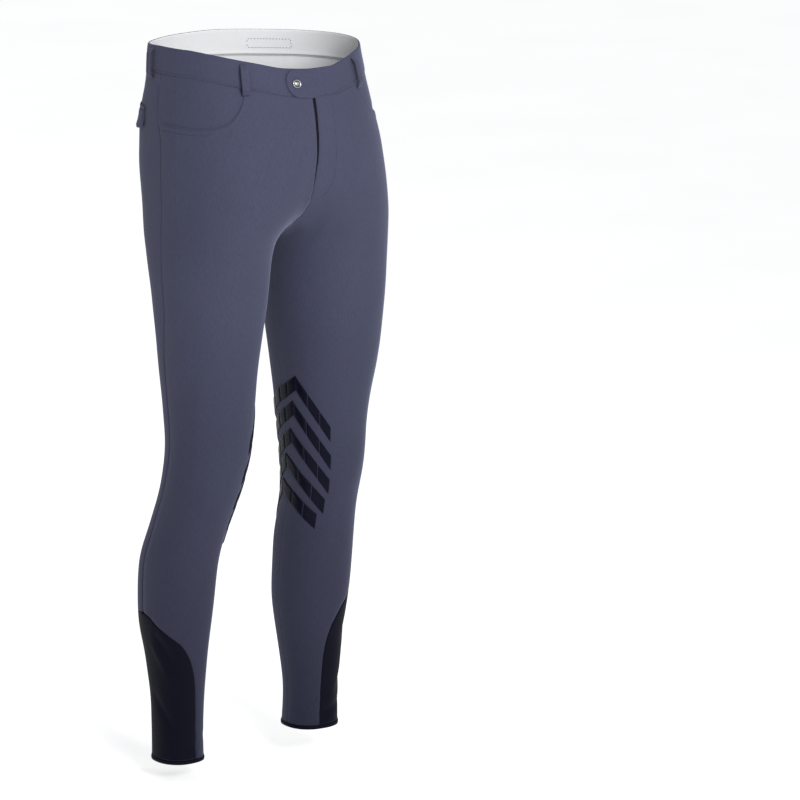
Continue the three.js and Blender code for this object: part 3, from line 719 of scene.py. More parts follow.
def front_base(leg):
    """Outline of a front panel as a grid of points, from the band or the scoop to the hem."""
    start, end = front_ends(leg, FRONT_BASE)
    scoop_part = np.concatenate([
        np.arange(SCOOP_TURN - 1.2, 42, 0.3), np.arange(42, 52, 0.75), np.arange(52, end - 4, 1.6)])
    row_turns, run = row_run(leg, start, end, FRONT_BASE)
    total = run[-1]
    scoop_places = np.interp(scoop_part, row_turns, run)
    middle = np.linspace(EDGE_MARKS[-1], scoop_places[0], 26)[1:-1]
    places = np.concatenate([EDGE_MARKS, middle, scoop_places, total - EDGE_MARKS[::-1][3:]])
    places = np.unique(np.round(places, 3))
    places = places[np.concatenate([[True], np.diff(places) > 0.25])]
    places[-1] = total
    shares = places / total
    turns = spread(leg, start, end, FRONT_BASE, shares)

    def ends_at(z_start, z_end):
        return (float(middle_turn(leg, z_start, float(fly_gap(z_start)))),
                float(side_seam(z_end)) - half_gap(leg, 90, z_end))

    scoop_edge = scoop_height(np.maximum(turns, SCOOP_TURN))
    seam_top = band_seam(leg, turns)
    seam_top = band_seam(leg, moved_turns(turns, ends_at(seam_top[0], scoop_edge[-1]), SCOOP_TURN)) + TUCK
    tops = np.where(turns <= SCOOP_TURN, seam_top, np.minimum(scoop_edge, seam_top))
    top = top_rows(leg, turns, FRONT_BASE, tops, ends_at, SCOOP_TURN, 30)
    levels = levels_between(leg, FRONT_BASE, hem_bottom(leg))
    return np.concatenate([top, grid_rows(leg, front_ends, levels, shares)])


def back_base(leg):
    start, end = back_ends(leg, SEAT_TOP)
    shares = row_shares(leg, start, end, SEAT_TOP, 46)
    turns = spread(leg, start, end, SEAT_TOP, shares)

    def ends_at(z_start, z_end):
        return (float(side_seam(z_start)) + half_gap(leg, 90, z_start),
                180 - float(middle_turn(leg, z_end, GAP)))

    tops = band_seam(leg, turns)
    tops = band_seam(leg, moved_turns(turns, ends_at(tops[0], tops[-1]), BACK_KEPT_TURN)) + TUCK
    top = top_rows(leg, turns, SEAT_TOP, tops, ends_at, BACK_KEPT_TURN, 26)
    z = levels_between(leg, SEAT_TOP, seat_end(leg) + 1.5)
    return np.concatenate([top, grid_rows(leg, back_ends, z, shares)])


def level_base(leg, ends, top, bottom, count, wide_level):
    shares = row_shares(leg, *ends(leg, wide_level), wide_level, count)
    return grid_rows(leg, ends, levels_between(leg, top, bottom), shares)


# Materials

def new_material(name):
    material = bpy.data.materials.new(name)
    material.use_nodes = True
    tree = material.node_tree
    shader = tree.nodes["Principled BSDF"]
    return material, tree, shader


def wire(tree, node, values, links):
    """Sets some inputs of a node and links others."""
    for name, value in values.items():
        node.inputs[name].default_value = value
    for name, output in links.items():
        tree.links.new(output, node.inputs[name])
    return node


def texture_place(tree, scale):
    """Object coordinates, stretched per axis."""
    place = tree.nodes.new("ShaderNodeTexCoord")
    mapping = tree.nodes.new("ShaderNodeMapping")
    return wire(tree, mapping, {"Scale": scale}, {"Vector": place.outputs["Object"]}).outputs["Vector"]


def noise(tree, vector, scale, detail):
    node = tree.nodes.new("ShaderNodeTexNoise")
    return wire(tree, node, {"Scale": scale, "Detail": detail}, {"Vector": vector}).outputs["Fac"]


def ramp(tree, value, low, high, low_at=0.3, high_at=0.7):
    node = tree.nodes.new("ShaderNodeValToRGB")
    for stop, place, colour in zip(node.color_ramp.elements, (low_at, high_at), (low, high)):
        stop.position = place
        stop.color = (*colour, 1)
    return wire(tree, node, {}, {"Fac": value}).outputs["Color"]


def multiply(tree, first, second):
    node = tree.nodes.new("ShaderNodeMix")
    node.data_type = "RGBA"
    node.blend_type = "MULTIPLY"
    return wire(tree, node, {"Factor": 1}, {"A": first, "B": second}).outputs["Result"]


def bump(tree, shader, height, distance, strength, under=None):
    links = {"Height": height}
    if under is not None:
        links["Normal"] = under
    node = wire(tree, tree.nodes.new("ShaderNodeBump"), {"Strength": strength, "Distance": distance}, links)
    tree.links.new(node.outputs["Normal"], shader.inputs["Normal"])
    return node.outputs["Normal"]


def grey(value):
    return (value, value, value)


def cloth_material(name, colour, roughness, sheen, streak, mottle, knit, shine=0.2, foot_shade=1.0):
    """Fine knit: upright streaks, soft mottling and a faint ribbed surface, and painted shade that can darken
    it towards the bottom.
    """
    material, tree, shader = new_material(name)
    upright = texture_place(tree, (1, 1, 0.12))
    even = texture_place(tree, (1, 1, 1))
    streaks = ramp(tree, noise(tree, upright, 900, 3), grey(1 - streak), grey(1 + streak))
    specks = ramp(tree, noise(tree, even, 1500, 2), grey(1 - streak), grey(1 + streak), 0.32, 0.68)
    patches = ramp(tree, noise(tree, even, 9, 3), [c * (1 - mottle) for c in colour],
                   [c * (1 + mottle) for c in colour], 0.35, 0.65)
    fine = multiply(tree, streaks, specks)
    # painted shade: the colour is multiplied down towards the bottom, to this share at the lower height,
    # slightly less in blue
    if foot_shade < 1:
        split = wire(tree, tree.nodes.new("ShaderNodeSeparateXYZ"), {}, {"Vector": even})
        height = wire(tree, tree.nodes.new("ShaderNodeMapRange"),
                      {"From Min": SHADE_PAINT_FOOT, "From Max": SHADE_PAINT_TOP}, {"Value": split.outputs["Z"]})
        painted_foot_shade = ramp(tree, height.outputs["Result"], (foot_shade, foot_shade, foot_shade * 1.1), grey(1), 0, 1)
        fine = multiply(tree, fine, painted_foot_shade)
    wire(tree, shader, {"Roughness": roughness, "Sheen Weight": sheen, "Sheen Roughness": 0.45,
                        "Sheen Tint": (0.55, 0.6, 0.85, 1), "Specular IOR Level": shine},
         {"Base Color": multiply(tree, patches, fine)})
    ribs = bump(tree, shader, noise(tree, upright, 1300, 2), 0.0003, knit)
    bump(tree, shader, noise(tree, even, 45, 2), 0.0012, 0.35, ribs)
    return material


def silicone_material():
    material, tree, shader = new_material("silicone_blocks")
    even = texture_place(tree, (1, 1, 1))
    colour = ramp(tree, noise(tree, even, 60, 3), (0.0030, 0.0034, 0.0100), (0.0042, 0.0047, 0.0130))
    rough = ramp(tree, noise(tree, even, 220, 3), grey(0.24), grey(0.4))
    wire(tree, shader, {"Specular IOR Level": 0.06}, {"Base Color": colour, "Roughness": rough})
    bump(tree, shader, noise(tree, even, 420, 2), 0.0005, 0.5)
    return material


def metal_material(name, low, high, rough):
    material, tree, shader = new_material(name)
    even = texture_place(tree, (1, 1, 1))
    colour = ramp(tree, noise(tree, even, 500, 3), grey(low), grey(high))
    worn = ramp(tree, noise(tree, even, 900, 2), grey(rough * 0.8), grey(rough * 1.3))
    wire(tree, shader, {"Metallic": 1}, {"Base Color": colour, "Roughness": worn})
    bump(tree, shader, noise(tree, even, 1400, 2), 0.0002, 0.25)
    return material


def lining_material():
    """Pale twill: slanted fine lines, and a faint glow that is painted light."""
    material, tree, shader = new_material("waist_lining_painted_glow")
    even = texture_place(tree, (1, 1, 1))
    colour = ramp(tree, noise(tree, even, 700, 3), (0.58, 0.59, 0.60), (0.63, 0.64, 0.65))
    # the faint emission is painted light: the lining glows a little, though it is no lamp
    wire(tree, shader, {"Roughness": 0.85, "Emission Color": (0.97, 0.98, 1.0, 1),
                        "Emission Strength": 0.04}, {"Base Color": colour})
    twill = tree.nodes.new("ShaderNodeTexWave")
    wire(tree, twill, {"Scale": 500, "Distortion": 1.5}, {"Vector": even})
    bump(tree, shader, twill.outputs["Fac"], 0.0002, 0.35)
    return material


JERSEY_COLOUR = (0.0400, 0.0420, 0.0750)
STRETCH_COLOUR = (0.0022, 0.0027, 0.0085)
# the jersey carries painted shade that darkens it towards the hems
jersey = cloth_material("jersey", JERSEY_COLOUR, 0.86, 0.22, 0.10, 0.035, 0.5, foot_shade=0.48)
jersey_back = cloth_material("jersey_inside", (0.036, 0.038, 0.060), 0.9, 0.15, 0.10, 0.04, 0.6)
thread = cloth_material("thread", (0.026, 0.028, 0.048), 0.7, 0.1, 0.15, 0.02, 0.3)
# painted shade: near-black cloth that darkens gaps and folds, used behind the fly, along the darts and behind
# the seat seam
crevice_shade = cloth_material("painted_crevice_shade", (0.004, 0.0045, 0.008), 0.9, 0.0, 0.1, 0.02, 0.3)
stretch = cloth_material("stretch_cloth", STRETCH_COLOUR, 0.6, 0.0, 0.10, 0.05, 0.4, 0.07)
lining = lining_material()
silicone = silicone_material()
metal = metal_material("button_metal", 0.28, 0.38, 0.32)
# painted shade: darker metal for the groove inside a button's rim
metal_recess_shade = metal_material("button_recess_painted_shade", 0.05, 0.10, 0.4)


# Panels

pieces = {}


def dress(piece, node):
    """Puts a dressed piece in the place of its node."""
    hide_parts(node)
    pieces[node] = piece


for leg in SIDE:
    base = front_base(leg)
    # the free edges of the pocket and of the fly are turned under
    from_top = np.linalg.norm(base - base[:1], axis=-1)
    under_band = smoothstep((SCOOP_TURN + 1.5 - turn_of(leg, base)) / 2)
    rolled = 0.5 * bell(from_top - 5, 4) - 0.8 * bell(from_top, 1.6) - under_band * 1.5 * bell(from_top, 1.5)
    from_fly = np.linalg.norm(base - base[:, :1], axis=-1)
    rise, distance, width = FLY_ROLL[leg]
    fly_roll = rise * bell(from_fly - distance, width) - 0.9 * bell(from_fly, 1.8)
    rolled += fly_roll * smoothstep((base[..., 2] - FLY_FOOT) / 25)
    piece = cloth(f"front_panel_{leg}", leg, base, [jersey, jersey_back], extra=rolled)
    dress(piece, f"front_{leg}")

    base = back_base(leg)
    from_top = np.linalg.norm(base - base[:1], axis=-1)
    piece = cloth(f"back_panel_{leg}", leg, base, [jersey, jersey_back], extra=-2.3 * bell(from_top, 1.5))
    dress(piece, f"back_{leg}")

    base = level_base(leg, inner_ends, SEAT_TOP - 0.3, hem_bottom(leg), 26, -300)
    piece = cloth(f"inner_leg_panel_{leg}", leg, base, [jersey, jersey_back])
    dress(piece, f"inner_leg_{leg}")

    base = level_base(leg, calf_ends, calf_top(leg) - 0.2, hem_bottom(leg), 56, -930)
    piece = cloth(f"calf_stretch_{leg}", leg, base, [stretch, stretch])
    dress(piece, f"calf_panel_{leg}")


def on_cloth(leg, turn, z, lift=0.0, with_seams=True):
    """Points on the dressed surface, and their normals."""
    base = leg_point(leg, turn, z)
    normal = normal_at(leg, base)
    rise = relief(leg, base, with_seams) + lift
    return base + normal * rise[..., None], normal


# The inside of the front and back panels has the lining's colour near the waist
for node in ("back_right", "front_right", "back_left", "front_left"):
    panel = pieces[node].data
    panel.materials.append(lining)
    for face in panel.polygons:
        if face.material_index == 1 and face.center.z > PALE_ABOVE:
            face.material_index = 2


# Hem bindings: a folded strip with a rounded outside
BINDING_TURNS = 120
BINDING_PROFILE = np.array([[5.5, 0.0], [5.2, 0.7], [4.2, 1.0], [2.8, 1.1], [1.2, 1.0], [0.3, 0.7], [0, 0.1]])
for leg in SIDE:
    turns = np.linspace(-90, 270, BINDING_TURNS + 1)[:-1]
    outer, inner = [], []
    for rise, lift in BINDING_PROFILE:
        z = HEM[leg] + rise
        base = leg_point(leg, turns, z)
        normal = normal_at(leg, base)
        slow = relief(leg, base, False)
        outer.append(base + normal * (slow + lift)[..., None])
        inner.append(base + normal * (slow - WALL - 0.3 * lift)[..., None])
    centre = [SIDE[leg] * LEG_MIDDLE, 25, -1000]
    piece = shell(f"hem_strip_{leg}", outer, inner, centre, [stretch], ring=True)
    dress(piece, f"hem_binding_{leg}")


# Pocket facings: cloth seen inside the scoop, just behind the front panel
FACING_LIFT = -(WALL + 0.5)
FACING_WALL = 1.0
for leg in SIDE:
    turns = np.concatenate([np.linspace(SCOOP_TURN - 2.6, 88, 56), [89.2, 90.2, 91, 91.6]])
    tops = band_seam(leg, turns) + TUCK
    bottoms = scoop_height(np.clip(turns, 44, 92)) - 12
    share = np.linspace(0, 1, 30)[:, None]
    z = tops + (bottoms - tops) * share
    to_seam = smoothstep((turns - 88) / 3.6)[None] * (side_seam(z) - 0.08 - 91.6)
    base = leg_point(leg, turns[None] + to_seam, z)
    # it comes forward to the band and the side seam, and stays behind the scoop's edge
    scoop_clear = smoothstep((z - scoop_height(np.clip(turns, 36, 92))[None] - 1) / 12)
    forward = smoothstep((turns[None] - SCOOP_TURN - 4) / 12) * scoop_clear * 0.9
    forward = np.maximum(forward, 0.9 * smoothstep((turns[None] - 86) / 5))
    forward -= 0.9 * bell(tops[None] - z, 1.6)
    piece = cloth(f"pocket_facing_cloth_{leg}", leg, base, [jersey, lining], FACING_LIFT, FACING_WALL,
                  extra=forward, with_seams=False)
    dress(piece, f"pocket_facing_{leg}")


# Back pockets
def back_turn(leg, share, z):
    """Turns at shares of the back panel's width."""
    share, z = np.broadcast_arrays(share, np.asarray(z, float))
    ends = np.array([back_ends(leg, height) for height in z.ravel()]).reshape(*z.shape, 2)
    return ends[..., 0] + (ends[..., 1] - ends[..., 0]) * share


def flap_bottom(shares):
    """Height of the flap's pointed lower edge, a little blunt at the point."""
    point = FLAP["point"]
    run = np.where(shares < point, point - FLAP["start"], FLAP["end"] - point)
    blunt = np.hypot((shares - point) / run, FLAP_SOFT) - FLAP_SOFT
    return FLAP["corner"] + (FLAP["tip"] - FLAP["corner"]) * np.clip(1 - blunt, 0, 1)


WELT_LIFT = 0.7
FLAP_LIFT = 2.0
# Width of a back panel at its pocket
BACK_WIDTH = 205
flap_shares = np.linspace(FLAP["start"], FLAP["end"], 60)
for leg in SIDE:
    rows = np.linspace(0, 1, 9)[:, None]
    z = FLAP["top"] + 0.6 + (1 - rows) * WELT_DEPTH + 0 * flap_shares
    base = leg_point(leg, back_turn(leg, flap_shares, z), z)
    crown = 0.9 * np.sin(math.pi * np.clip(rows, 0.03, 0.97)) ** 0.5 + 0 * flap_shares
    piece = cloth(f"pocket_welt_{leg}", leg, base, [jersey], WELT_LIFT, 1.0, extra=crown, with_seams=False)
    dress(piece, f"back_pocket_welt_{leg}")

    rows = np.concatenate([[0, 0.03], np.linspace(0.08, 0.92, 22), [0.96, 0.985, 1]])[:, None]
    z = FLAP["top"] + (flap_bottom(flap_shares) - FLAP["top"]) * rows
    base = leg_point(leg, back_turn(leg, flap_shares, z), z)
    side_distance = np.minimum(flap_shares - FLAP["start"], FLAP["end"] - flap_shares)[None] * BACK_WIDTH
    edge = np.minimum(side_distance, (1 - rows) * 30)
    crown = 0.5 * bell(edge - 5, 3) - 0.9 * bell(edge, 1.2)
    lifted_tip = 2.4 * smoothstep((rows - 0.3) / 0.7) - bell(rows, 0.1)
    piece = cloth(f"pocket_flap_{leg}", leg, base, [jersey, jersey_back], FLAP_LIFT, 1.3,
                  extra=crown + lifted_tip, with_seams=False)
    dress(piece, f"back_pocket_flap_{leg}")


# Buttons: [radius share, height share] of a turned profile
BUTTON_PROFILE = [[0, 0], [0.82, 0], [0.95, 0.12], [1.0, 0.34], [1.0, 0.66], [0.96, 0.86], [0.88, 0.98],
                  [0.78, 0.96], [0.70, 0.80], [0.62, 0.66], [0.52, 0.64], [0.42, 0.74], [0.28, 0.84],
                  [0.14, 0.90], [0.0, 0.92]]
BUTTON_SIDES = 48
# Profile rows of the groove inside the rim, which take the darker metal as painted shade
RECESS_ROWS = (8, 11)


def button(name, node, place, normal, radius, height):
    """Turned metal button with a raised rim and a domed middle, and painted shade in the groove between them.
    """
    right = level_way(normal)
    up = np.cross(normal, right)
    angle = np.arange(BUTTON_SIDES) * 2 * math.pi / BUTTON_SIDES
    round_way = np.outer(np.cos(angle), right) + np.outer(np.sin(angle), up)
    points, faces, slots, rings = [], [], [], []
    for share, rise in BUTTON_PROFILE:
        ring = place + normal * rise * height + (round_way * share * radius if share else [[0, 0, 0]])
        rings.append([len(points) + i for i in range(len(ring))])
        points += ring.tolist()
    for r, (low, high) in enumerate(zip(rings, rings[1:])):
        for i in range(BUTTON_SIDES):
            j = (i + 1) % BUTTON_SIDES
            ends = [low[0]] if len(low) == 1 else [low[i], low[j]]
            faces.append(ends + ([high[0]] if len(high) == 1 else [high[j], high[i]]))
            slots.append(int(RECESS_ROWS[0] <= r < RECESS_ROWS[1]))
    piece = make_mesh(name, leaned(points), faces, [metal, metal_recess_shade], slots)
    dress(piece, node)


for leg in SIDE:
    z = FLAP["top"] - FLAP_BUTTON_BELOW
    turn = back_turn(leg, FLAP["point"], z)
    place, normal = on_cloth(leg, np.array([turn]), np.array([z]), FLAP_LIFT + 2.4, False)
    button(f"snap_{leg}", f"flap_button_{leg}", place[0], normal[0], *FLAP_SNAP)


# Waistband: starts under the tab, goes round the back and ends in the tab, which laps over it
BAND_ROWS = np.array([0, 0.012, 0.03, 0.07, 0.16, 0.3, 0.45, 0.6, 0.74, 0.85, 0.92, 0.965, 0.985, 1.0])
WAIST_MIDDLE = [0, 0, -20]
BAND_START = 3
BAND_END = 19


def band_relief(share):
    """A sewn band is a little full between its edges."""
    down = share * BAND_DEPTH
    full = 0.5 * np.sin(math.pi * share) ** 0.7
    up = BAND_DEPTH - down
    return full - 0.9 * bell(down, 0.9) - bell(up, 1.0) - 0.35 * bell(up - 3.2, 0.8)


def band_columns():
    right = [("right", turn) for turn in np.linspace(turn_at_reach(BAND_START), 180, 170)]
    left = [("left", turn) for turn in np.linspace(180, turn_at_reach(BAND_END), 160)[1:]]
    return right + left


def band_place(leg, turn, drop):
    """A point of the band's even form at a drop below its top, and its normal."""
    z = float(rim_at[leg](turn)) - drop
    base = waist_point(leg, turn, z)
    return base, normal_at(leg, base)


def front_spot(x, z):
    """A point on the front at a signed distance from the middle, and its normal."""
    leg = "right" if x < 0 else "left"
    base = reach_point(leg, abs(x), z, True)
    return base, normal_at(leg, base)


def layers(rows, places, spots):
    """Outer and inner grids from a function of a row and a place along it."""
    grid = np.array([[spots(row, place) for place in places] for row in rows])
    return grid[:, :, 0], grid[:, :, 1]


def band_spots(share, column):
    leg, turn = column
    base, normal = band_place(leg, turn, BAND_DEPTH * share)
    rise = 0.25 + band_relief(share) + ease(leg, base) * share
    return base + normal * rise, base + normal * (min(rise, 0.2) - BAND_WALL)


def tab_spots(share, x):
    past = max(TAB_TIP + TAB_ROUND - x, 0) / TAB_ROUND
    half = BAND_DEPTH / 2 - TAB_ROUND + TAB_ROUND * math.sqrt(max(1 - past ** 2, 0.004))
    longer = TAB_DROP * smoothstep((14 - x) / 16) * share
    base, normal = front_spot(x, front_rim(x) - BAND_DEPTH / 2 + half * (1 - 2 * share) - longer)
    on_top = TAB_LIFT * smoothstep((19 - x) / 9) + smoothstep((-12 - x) / 20)
    rise = 0.25 + band_relief(share) + on_top - 0.9 * bell(x - TAB_TIP, 1.6)
    under = min(rise, on_top + 0.2) - BAND_WALL * (1 if x > 9 else 0.95)
    return base + normal * rise, base + normal * under


columns = band_columns()
tab_x = np.concatenate([np.linspace(17.5, 9, 6), np.linspace(6, TAB_TIP + TAB_ROUND, 10)[:-1],
                        TAB_TIP + TAB_ROUND * (1 - np.sin(np.linspace(0, 1, 16) * math.pi / 2))])
parts = zip(layers(BAND_ROWS, columns, band_spots), layers(BAND_ROWS, tab_x, tab_spots))
outer, inner = (np.concatenate(part, axis=1) for part in parts)
dress(shell("waistband_cloth", outer, inner, WAIST_MIDDLE, [jersey, lining]), "waistband")

base, normal = front_spot(WAIST_BUTTON_X, front_rim(WAIST_BUTTON_X) - WAIST_BUTTON_BELOW)
button("waist_snap", "waist_button", base + normal * (TAB_LIFT + 1.1), normal, *WAIST_SNAP)


# Pale facing inside the band
FACING_DROPS = [0.4, 1.2, 3, 7, 12, 18, 24, 29, 32, 34, 34.7, 35.2]


def facing_spots(drop, column):
    base, normal = band_place(*column, drop)
    full = 0.9 + 0.9 * bell(drop - 33.6, 1.3) - 0.4 * bell(drop, 1.0)
    return base - normal * (BAND_WALL + 0.12), base - normal * (BAND_WALL + full)


outer, inner = layers(FACING_DROPS, columns, facing_spots)
dress(shell("waist_facing_cloth", outer, inner, WAIST_MIDDLE, [lining]), "waistband_facing")


# Underlap behind the fly, coloured near-black as painted shade so that the fly's gap reads dark
def underlap_spots(z, x):
    base, normal = front_spot(x, z)
    return base - normal * (WALL + 1.5 + 0.1 * math.sin(z * 0.1)), base - normal * (WALL + 2.5)


outer, inner = layers(np.linspace(*UNDERLAP_HEIGHT, 48), np.linspace(*UNDERLAP_REACH, 34), underlap_spots)
dress(shell("fly_underlap_cloth", outer, inner, [0, 0, -120], [crevice_shade]), "fly_underlap")


# Belt loops: rounded straps that stand off the band and are sewn down at both ends
STRAP_PROFILE = np.array([[-5, 0.2], [-4.8, 0.9], [-4.1, 1.4], [-2.6, 1.5], [-1.9, 1.32], [-1.2, 1.5],
                          [1.2, 1.5], [1.9, 1.32], [2.6, 1.5], [4.1, 1.4], [4.8, 0.9], [5, 0.2]])
for name, leg, turn, base_lift in LOOPS:
    rim = float(rim_at[leg](turn))
    top, bottom = rim - 4, rim - BAND_DEPTH - 9
    normal = normal_at(leg, waist_point(leg, turn, (top + bottom) / 2))
    outer, inner = [], []
    for share in np.concatenate([[0, 0.006], np.linspace(0.02, 0.98, 40), [0.994, 1]]):
        lift = base_lift + LOOP_RISE * min(math.sin(math.pi * share) * 1.8, 1) ** 0.9
        thin = 1 - 0.5 * (bell(share, 0.012) + bell(1 - share, 0.012))
        middle = waist_point(leg, turn, top + (bottom - top) * share)
        spots = middle + level_way(normal) * STRAP_PROFILE[:, :1]
        outer.append(spots + normal * (lift + STRAP_PROFILE[:, 1:] * thin))
        inner.append(spots + normal * (lift + 0.05))
    dress(shell(f"{name}_strap", outer, inner, WAIST_MIDDLE, [jersey]), name)


# Knee grips: rows of silicone blocks
BLOCK_STEPS = np.array([0, 0.025, 0.06, 0.12, 0.3, 0.5, 0.7, 0.88, 0.94, 0.975, 1.0])
BLOCK_RISE = np.array([0.0, 0.55, 0.85, 1.0, 1.0, 1.0, 1.0, 1.0, 0.85, 0.55, 0.0])


def block_mesh(leg, start, end, top_at):
    """One block between two turns, under a slanting line, with rounded edges."""
    turns = start + (end - start) * BLOCK_STEPS
    tops = top_at(turns)
    z = tops[None] - GRIP_WIDTH * BLOCK_STEPS[:, None]
    base = leg_point(leg, turns[None] + 0 * z, z)
    normal = normal_at(leg, base)
    rise = relief(leg, base, False)
    height = GRIP_FOOT + (GRIP_TOP - GRIP_FOOT) * np.minimum.outer(BLOCK_RISE, BLOCK_RISE)
    upper = base + normal * (rise + height)[..., None]
    lower = base + normal * (rise + 0.12)[..., None]
    return upper, lower


def grip(leg, number, row):
    """One grip: an arm of blocks to the front and one to the back of its peak."""
    peak_turn, front_turn, far_turn = (turn + GRIP_TURN[leg] for turn in row[::2])
    peak_z, front_z, far_z = row[1::2]
    top_at = lambda turn: np.where(
        turn > peak_turn, peak_z + (turn - peak_turn) / (front_turn - peak_turn) * (front_z - peak_z),
        peak_z + (turn - peak_turn) / (far_turn - peak_turn) * (far_z - peak_z))
    block_faces = np.concatenate(slab_faces(len(BLOCK_STEPS), len(BLOCK_STEPS)))
    points, faces = [], []
    for end_turn in (front_turn, far_turn):
        line = np.linspace(peak_turn, end_turn, 161)
        path = leg_point(leg, line, top_at(line) - GRIP_WIDTH / 2)
        run = run_of(path[:, :2])
        count = max(int(round(run[-1] / GRIP_PITCH)), 1)
        cuts = np.interp(np.linspace(0, run[-1], count + 1), run, line)
        for i in range(count):
            spare = GRIP_SPLIT / 2 / (run[-1] / count) * (cuts[i + 1] - cuts[i])
            first = cuts[i] + (spare if i else 0)
            upper, lower = block_mesh(leg, first, cuts[i + 1] - spare, top_at)
            if not facing_out(upper, np.array([SIDE[leg] * LEG_MIDDLE, 0, peak_z])):
                upper, lower = upper[:, ::-1], lower[:, ::-1]
            faces += (block_faces + len(points)).tolist()
            points += upper.reshape(-1, 3).tolist() + lower.reshape(-1, 3).tolist()
    piece = make_mesh(f"grip_blocks_{leg}_{number}", leaned(np.array(points)), faces, [silicone])
    dress(piece, f"knee_grip_{leg}_{number}")


for leg in SIDE:
    for number, row in enumerate(GRIPS, 1):
        grip(leg, number, row)


# Stitching: short raised threads along lines on the cloth
STITCH_RINGS = np.array([[-0.5, 0.4], [-0.38, 1.0], [0.38, 1.0], [0.5, 0.4]])
STITCH_SIDES = 6


def stitch_faces():
    """Faces of one thread: a short tube and its two ends."""
    n, last = STITCH_SIDES, STITCH_SIDES * (len(STITCH_RINGS) - 1)
    tube = [[r + k, r + (k + 1) % n, r + (k + 1) % n + n, r + k + n]
            for r in range(0, last, n) for k in range(n)]
    return tube + [list(range(n))[::-1], list(range(last, last + n))]


STITCH_FACES = stitch_faces()


def stitches(name, paths, material, pitch=3.2, length=2.3, radius=0.3):
    """One mesh of threads. A path is a row of points with its row of normals."""
    points, faces = [], []
    for path, normals in paths:
        path, normals = np.asarray(path, float), np.asarray(normals, float)
        run = run_of(path)
        count = max(int(run[-1] / pitch), 1)
        at = (np.arange(count) + 0.5) * run[-1] / count
        place = lambda where: np.stack([np.interp(where, run, path[:, k]) for k in range(3)], -1)
        middle = place(at)
        along = place(np.minimum(at + 0.6, run[-1])) - place(np.maximum(at - 0.6, 0))
        along /= np.linalg.norm(along, axis=1, keepdims=True)
        out = np.stack([np.interp(at, run, normals[:, k]) for k in range(3)], -1)
        side = np.cross(out, along)
        side /= np.linalg.norm(side, axis=1, keepdims=True)
        angle = np.arange(STITCH_SIDES) * 2 * math.pi / STITCH_SIDES
        for i in range(count):
            faces += [[len(points) + k for k in face] for face in STITCH_FACES]
            for share, size in STITCH_RINGS:
                ring = middle[i] + along[i] * share * length
                turn = np.cos(angle)[:, None] * side[i] + np.sin(angle)[:, None] * out[i] * 0.8
                points += (ring + turn * size * radius).tolist()
    piece = make_mesh(name, leaned(np.array(points)), faces, [material])


def beside_seam(leg, seam, top, bottom, distance, lift=0.12):
    """A line beside a seam, at a distance round the leg."""
    z = np.arange(top, bottom, -4.0)
    turn = seam(z)
    speed = np.linalg.norm(leg_point(leg, turn + 0.5, z) - leg_point(leg, turn - 0.5, z), axis=-1)
    return on_cloth(leg, turn + distance / speed, z, lift)


def front_row(reaches, heights):
    """A row on the front, by signed distances from the middle."""
    spots = []
    for x, z in zip(reaches, heights):
        base, normal = front_spot(x, z)
        rise = relief("right" if x < 0 else "left", base) + 0.12
        spots.append([base + normal * rise, normal])
    return np.array(spots).transpose(1, 0, 2)


for leg in SIDE:
    # the pocket's second row, parallel to the lower part of the scoop
    turns = np.linspace(50, 88, 60)
    drop = 8.5 * smoothstep((turns - 42) / 14)
    near_edge = np.linspace(37.6, 88, 90)
    edge_turn = near_edge - 1.0 * smoothstep((48 - near_edge) / 8)
    edge_z = scoop_height(near_edge) - 2.0 * smoothstep((near_edge - 38) / 10)
    paths = [on_cloth(leg, turns, scoop_height(turns) - drop, 0.3),
             on_cloth(leg, edge_turn, edge_z, 0.1)]
    stitches(f"pocket_stitching_{leg}", paths, thread)
    # beside the seat seam and the side seam
    paths = [beside_seam(leg, seat_seam, -132, -440, -2.6), beside_seam(leg, side_seam, -44, -96, 2.4)]
    stitches(f"seat_stitching_{leg}", paths, thread)
    # round the flap and the welt
    inset = 2.6
    shares = np.linspace(FLAP["start"] + 0.013, FLAP["end"] - 0.013, 70)
    bottom = flap_bottom(shares) + inset
    side_z = np.linspace(FLAP["top"] - 3, bottom[0], 8)
    left_side = back_turn(leg, shares[0], side_z)
    right_z = np.linspace(bottom[-1], FLAP["top"] - 3, 8)
    right_side = back_turn(leg, shares[-1], right_z)
    turns = back_turn(leg, shares, bottom)
    flap_lift = FLAP_LIFT + 0.35
    loose = lambda turn, z, lift: on_cloth(leg, turn, z, lift, False)
    low = loose(turns, bottom, flap_lift + 2.3)
    paths = [low, loose(left_side, side_z, flap_lift + 0.8), loose(right_side, right_z, flap_lift + 0.8)]
    for share in (FLAP["start"] - 0.012, FLAP["start"] - 0.03):
        z = np.linspace(FLAP["top"] + WELT_DEPTH + 1, FLAP["corner"] + 4, 12)
        paths.append(on_cloth(leg, back_turn(leg, share, z), z, 0.12))
    z = np.full(50, FLAP["top"] + WELT_DEPTH + 2.4)
    shares = np.linspace(FLAP["start"] - 0.03, FLAP["end"] + 0.01, 50)
    paths.append(on_cloth(leg, back_turn(leg, shares, z), z, 0.12))
    stitches(f"back_pocket_stitching_{leg}", paths, thread, 2.8, 2.0, 0.26)
    # hem binding
    turns = np.linspace(-90, 268, 200)
    z = np.full(200, HEM[leg] + BINDING + 1.3)
    paths = [on_cloth(leg, turns, z, 0.1)]
    stitches(f"hem_stitching_{leg}", paths, thread, 3.0, 2.2, 0.28)

# the darts, from the band to the back pockets, stitched in near-black as painted shade along their folds
for leg in SIDE:
    z = np.linspace(band_seam(leg, 134.0) - 0.5, FLAP["top"] + 1, 40)
    turns = back_turn(leg, FLAP["point"], z)
    stitches(f"dart_{leg}", [on_cloth(leg, turns, z, 0.08)], crevice_shade, 1.4, 1.5, 0.3)

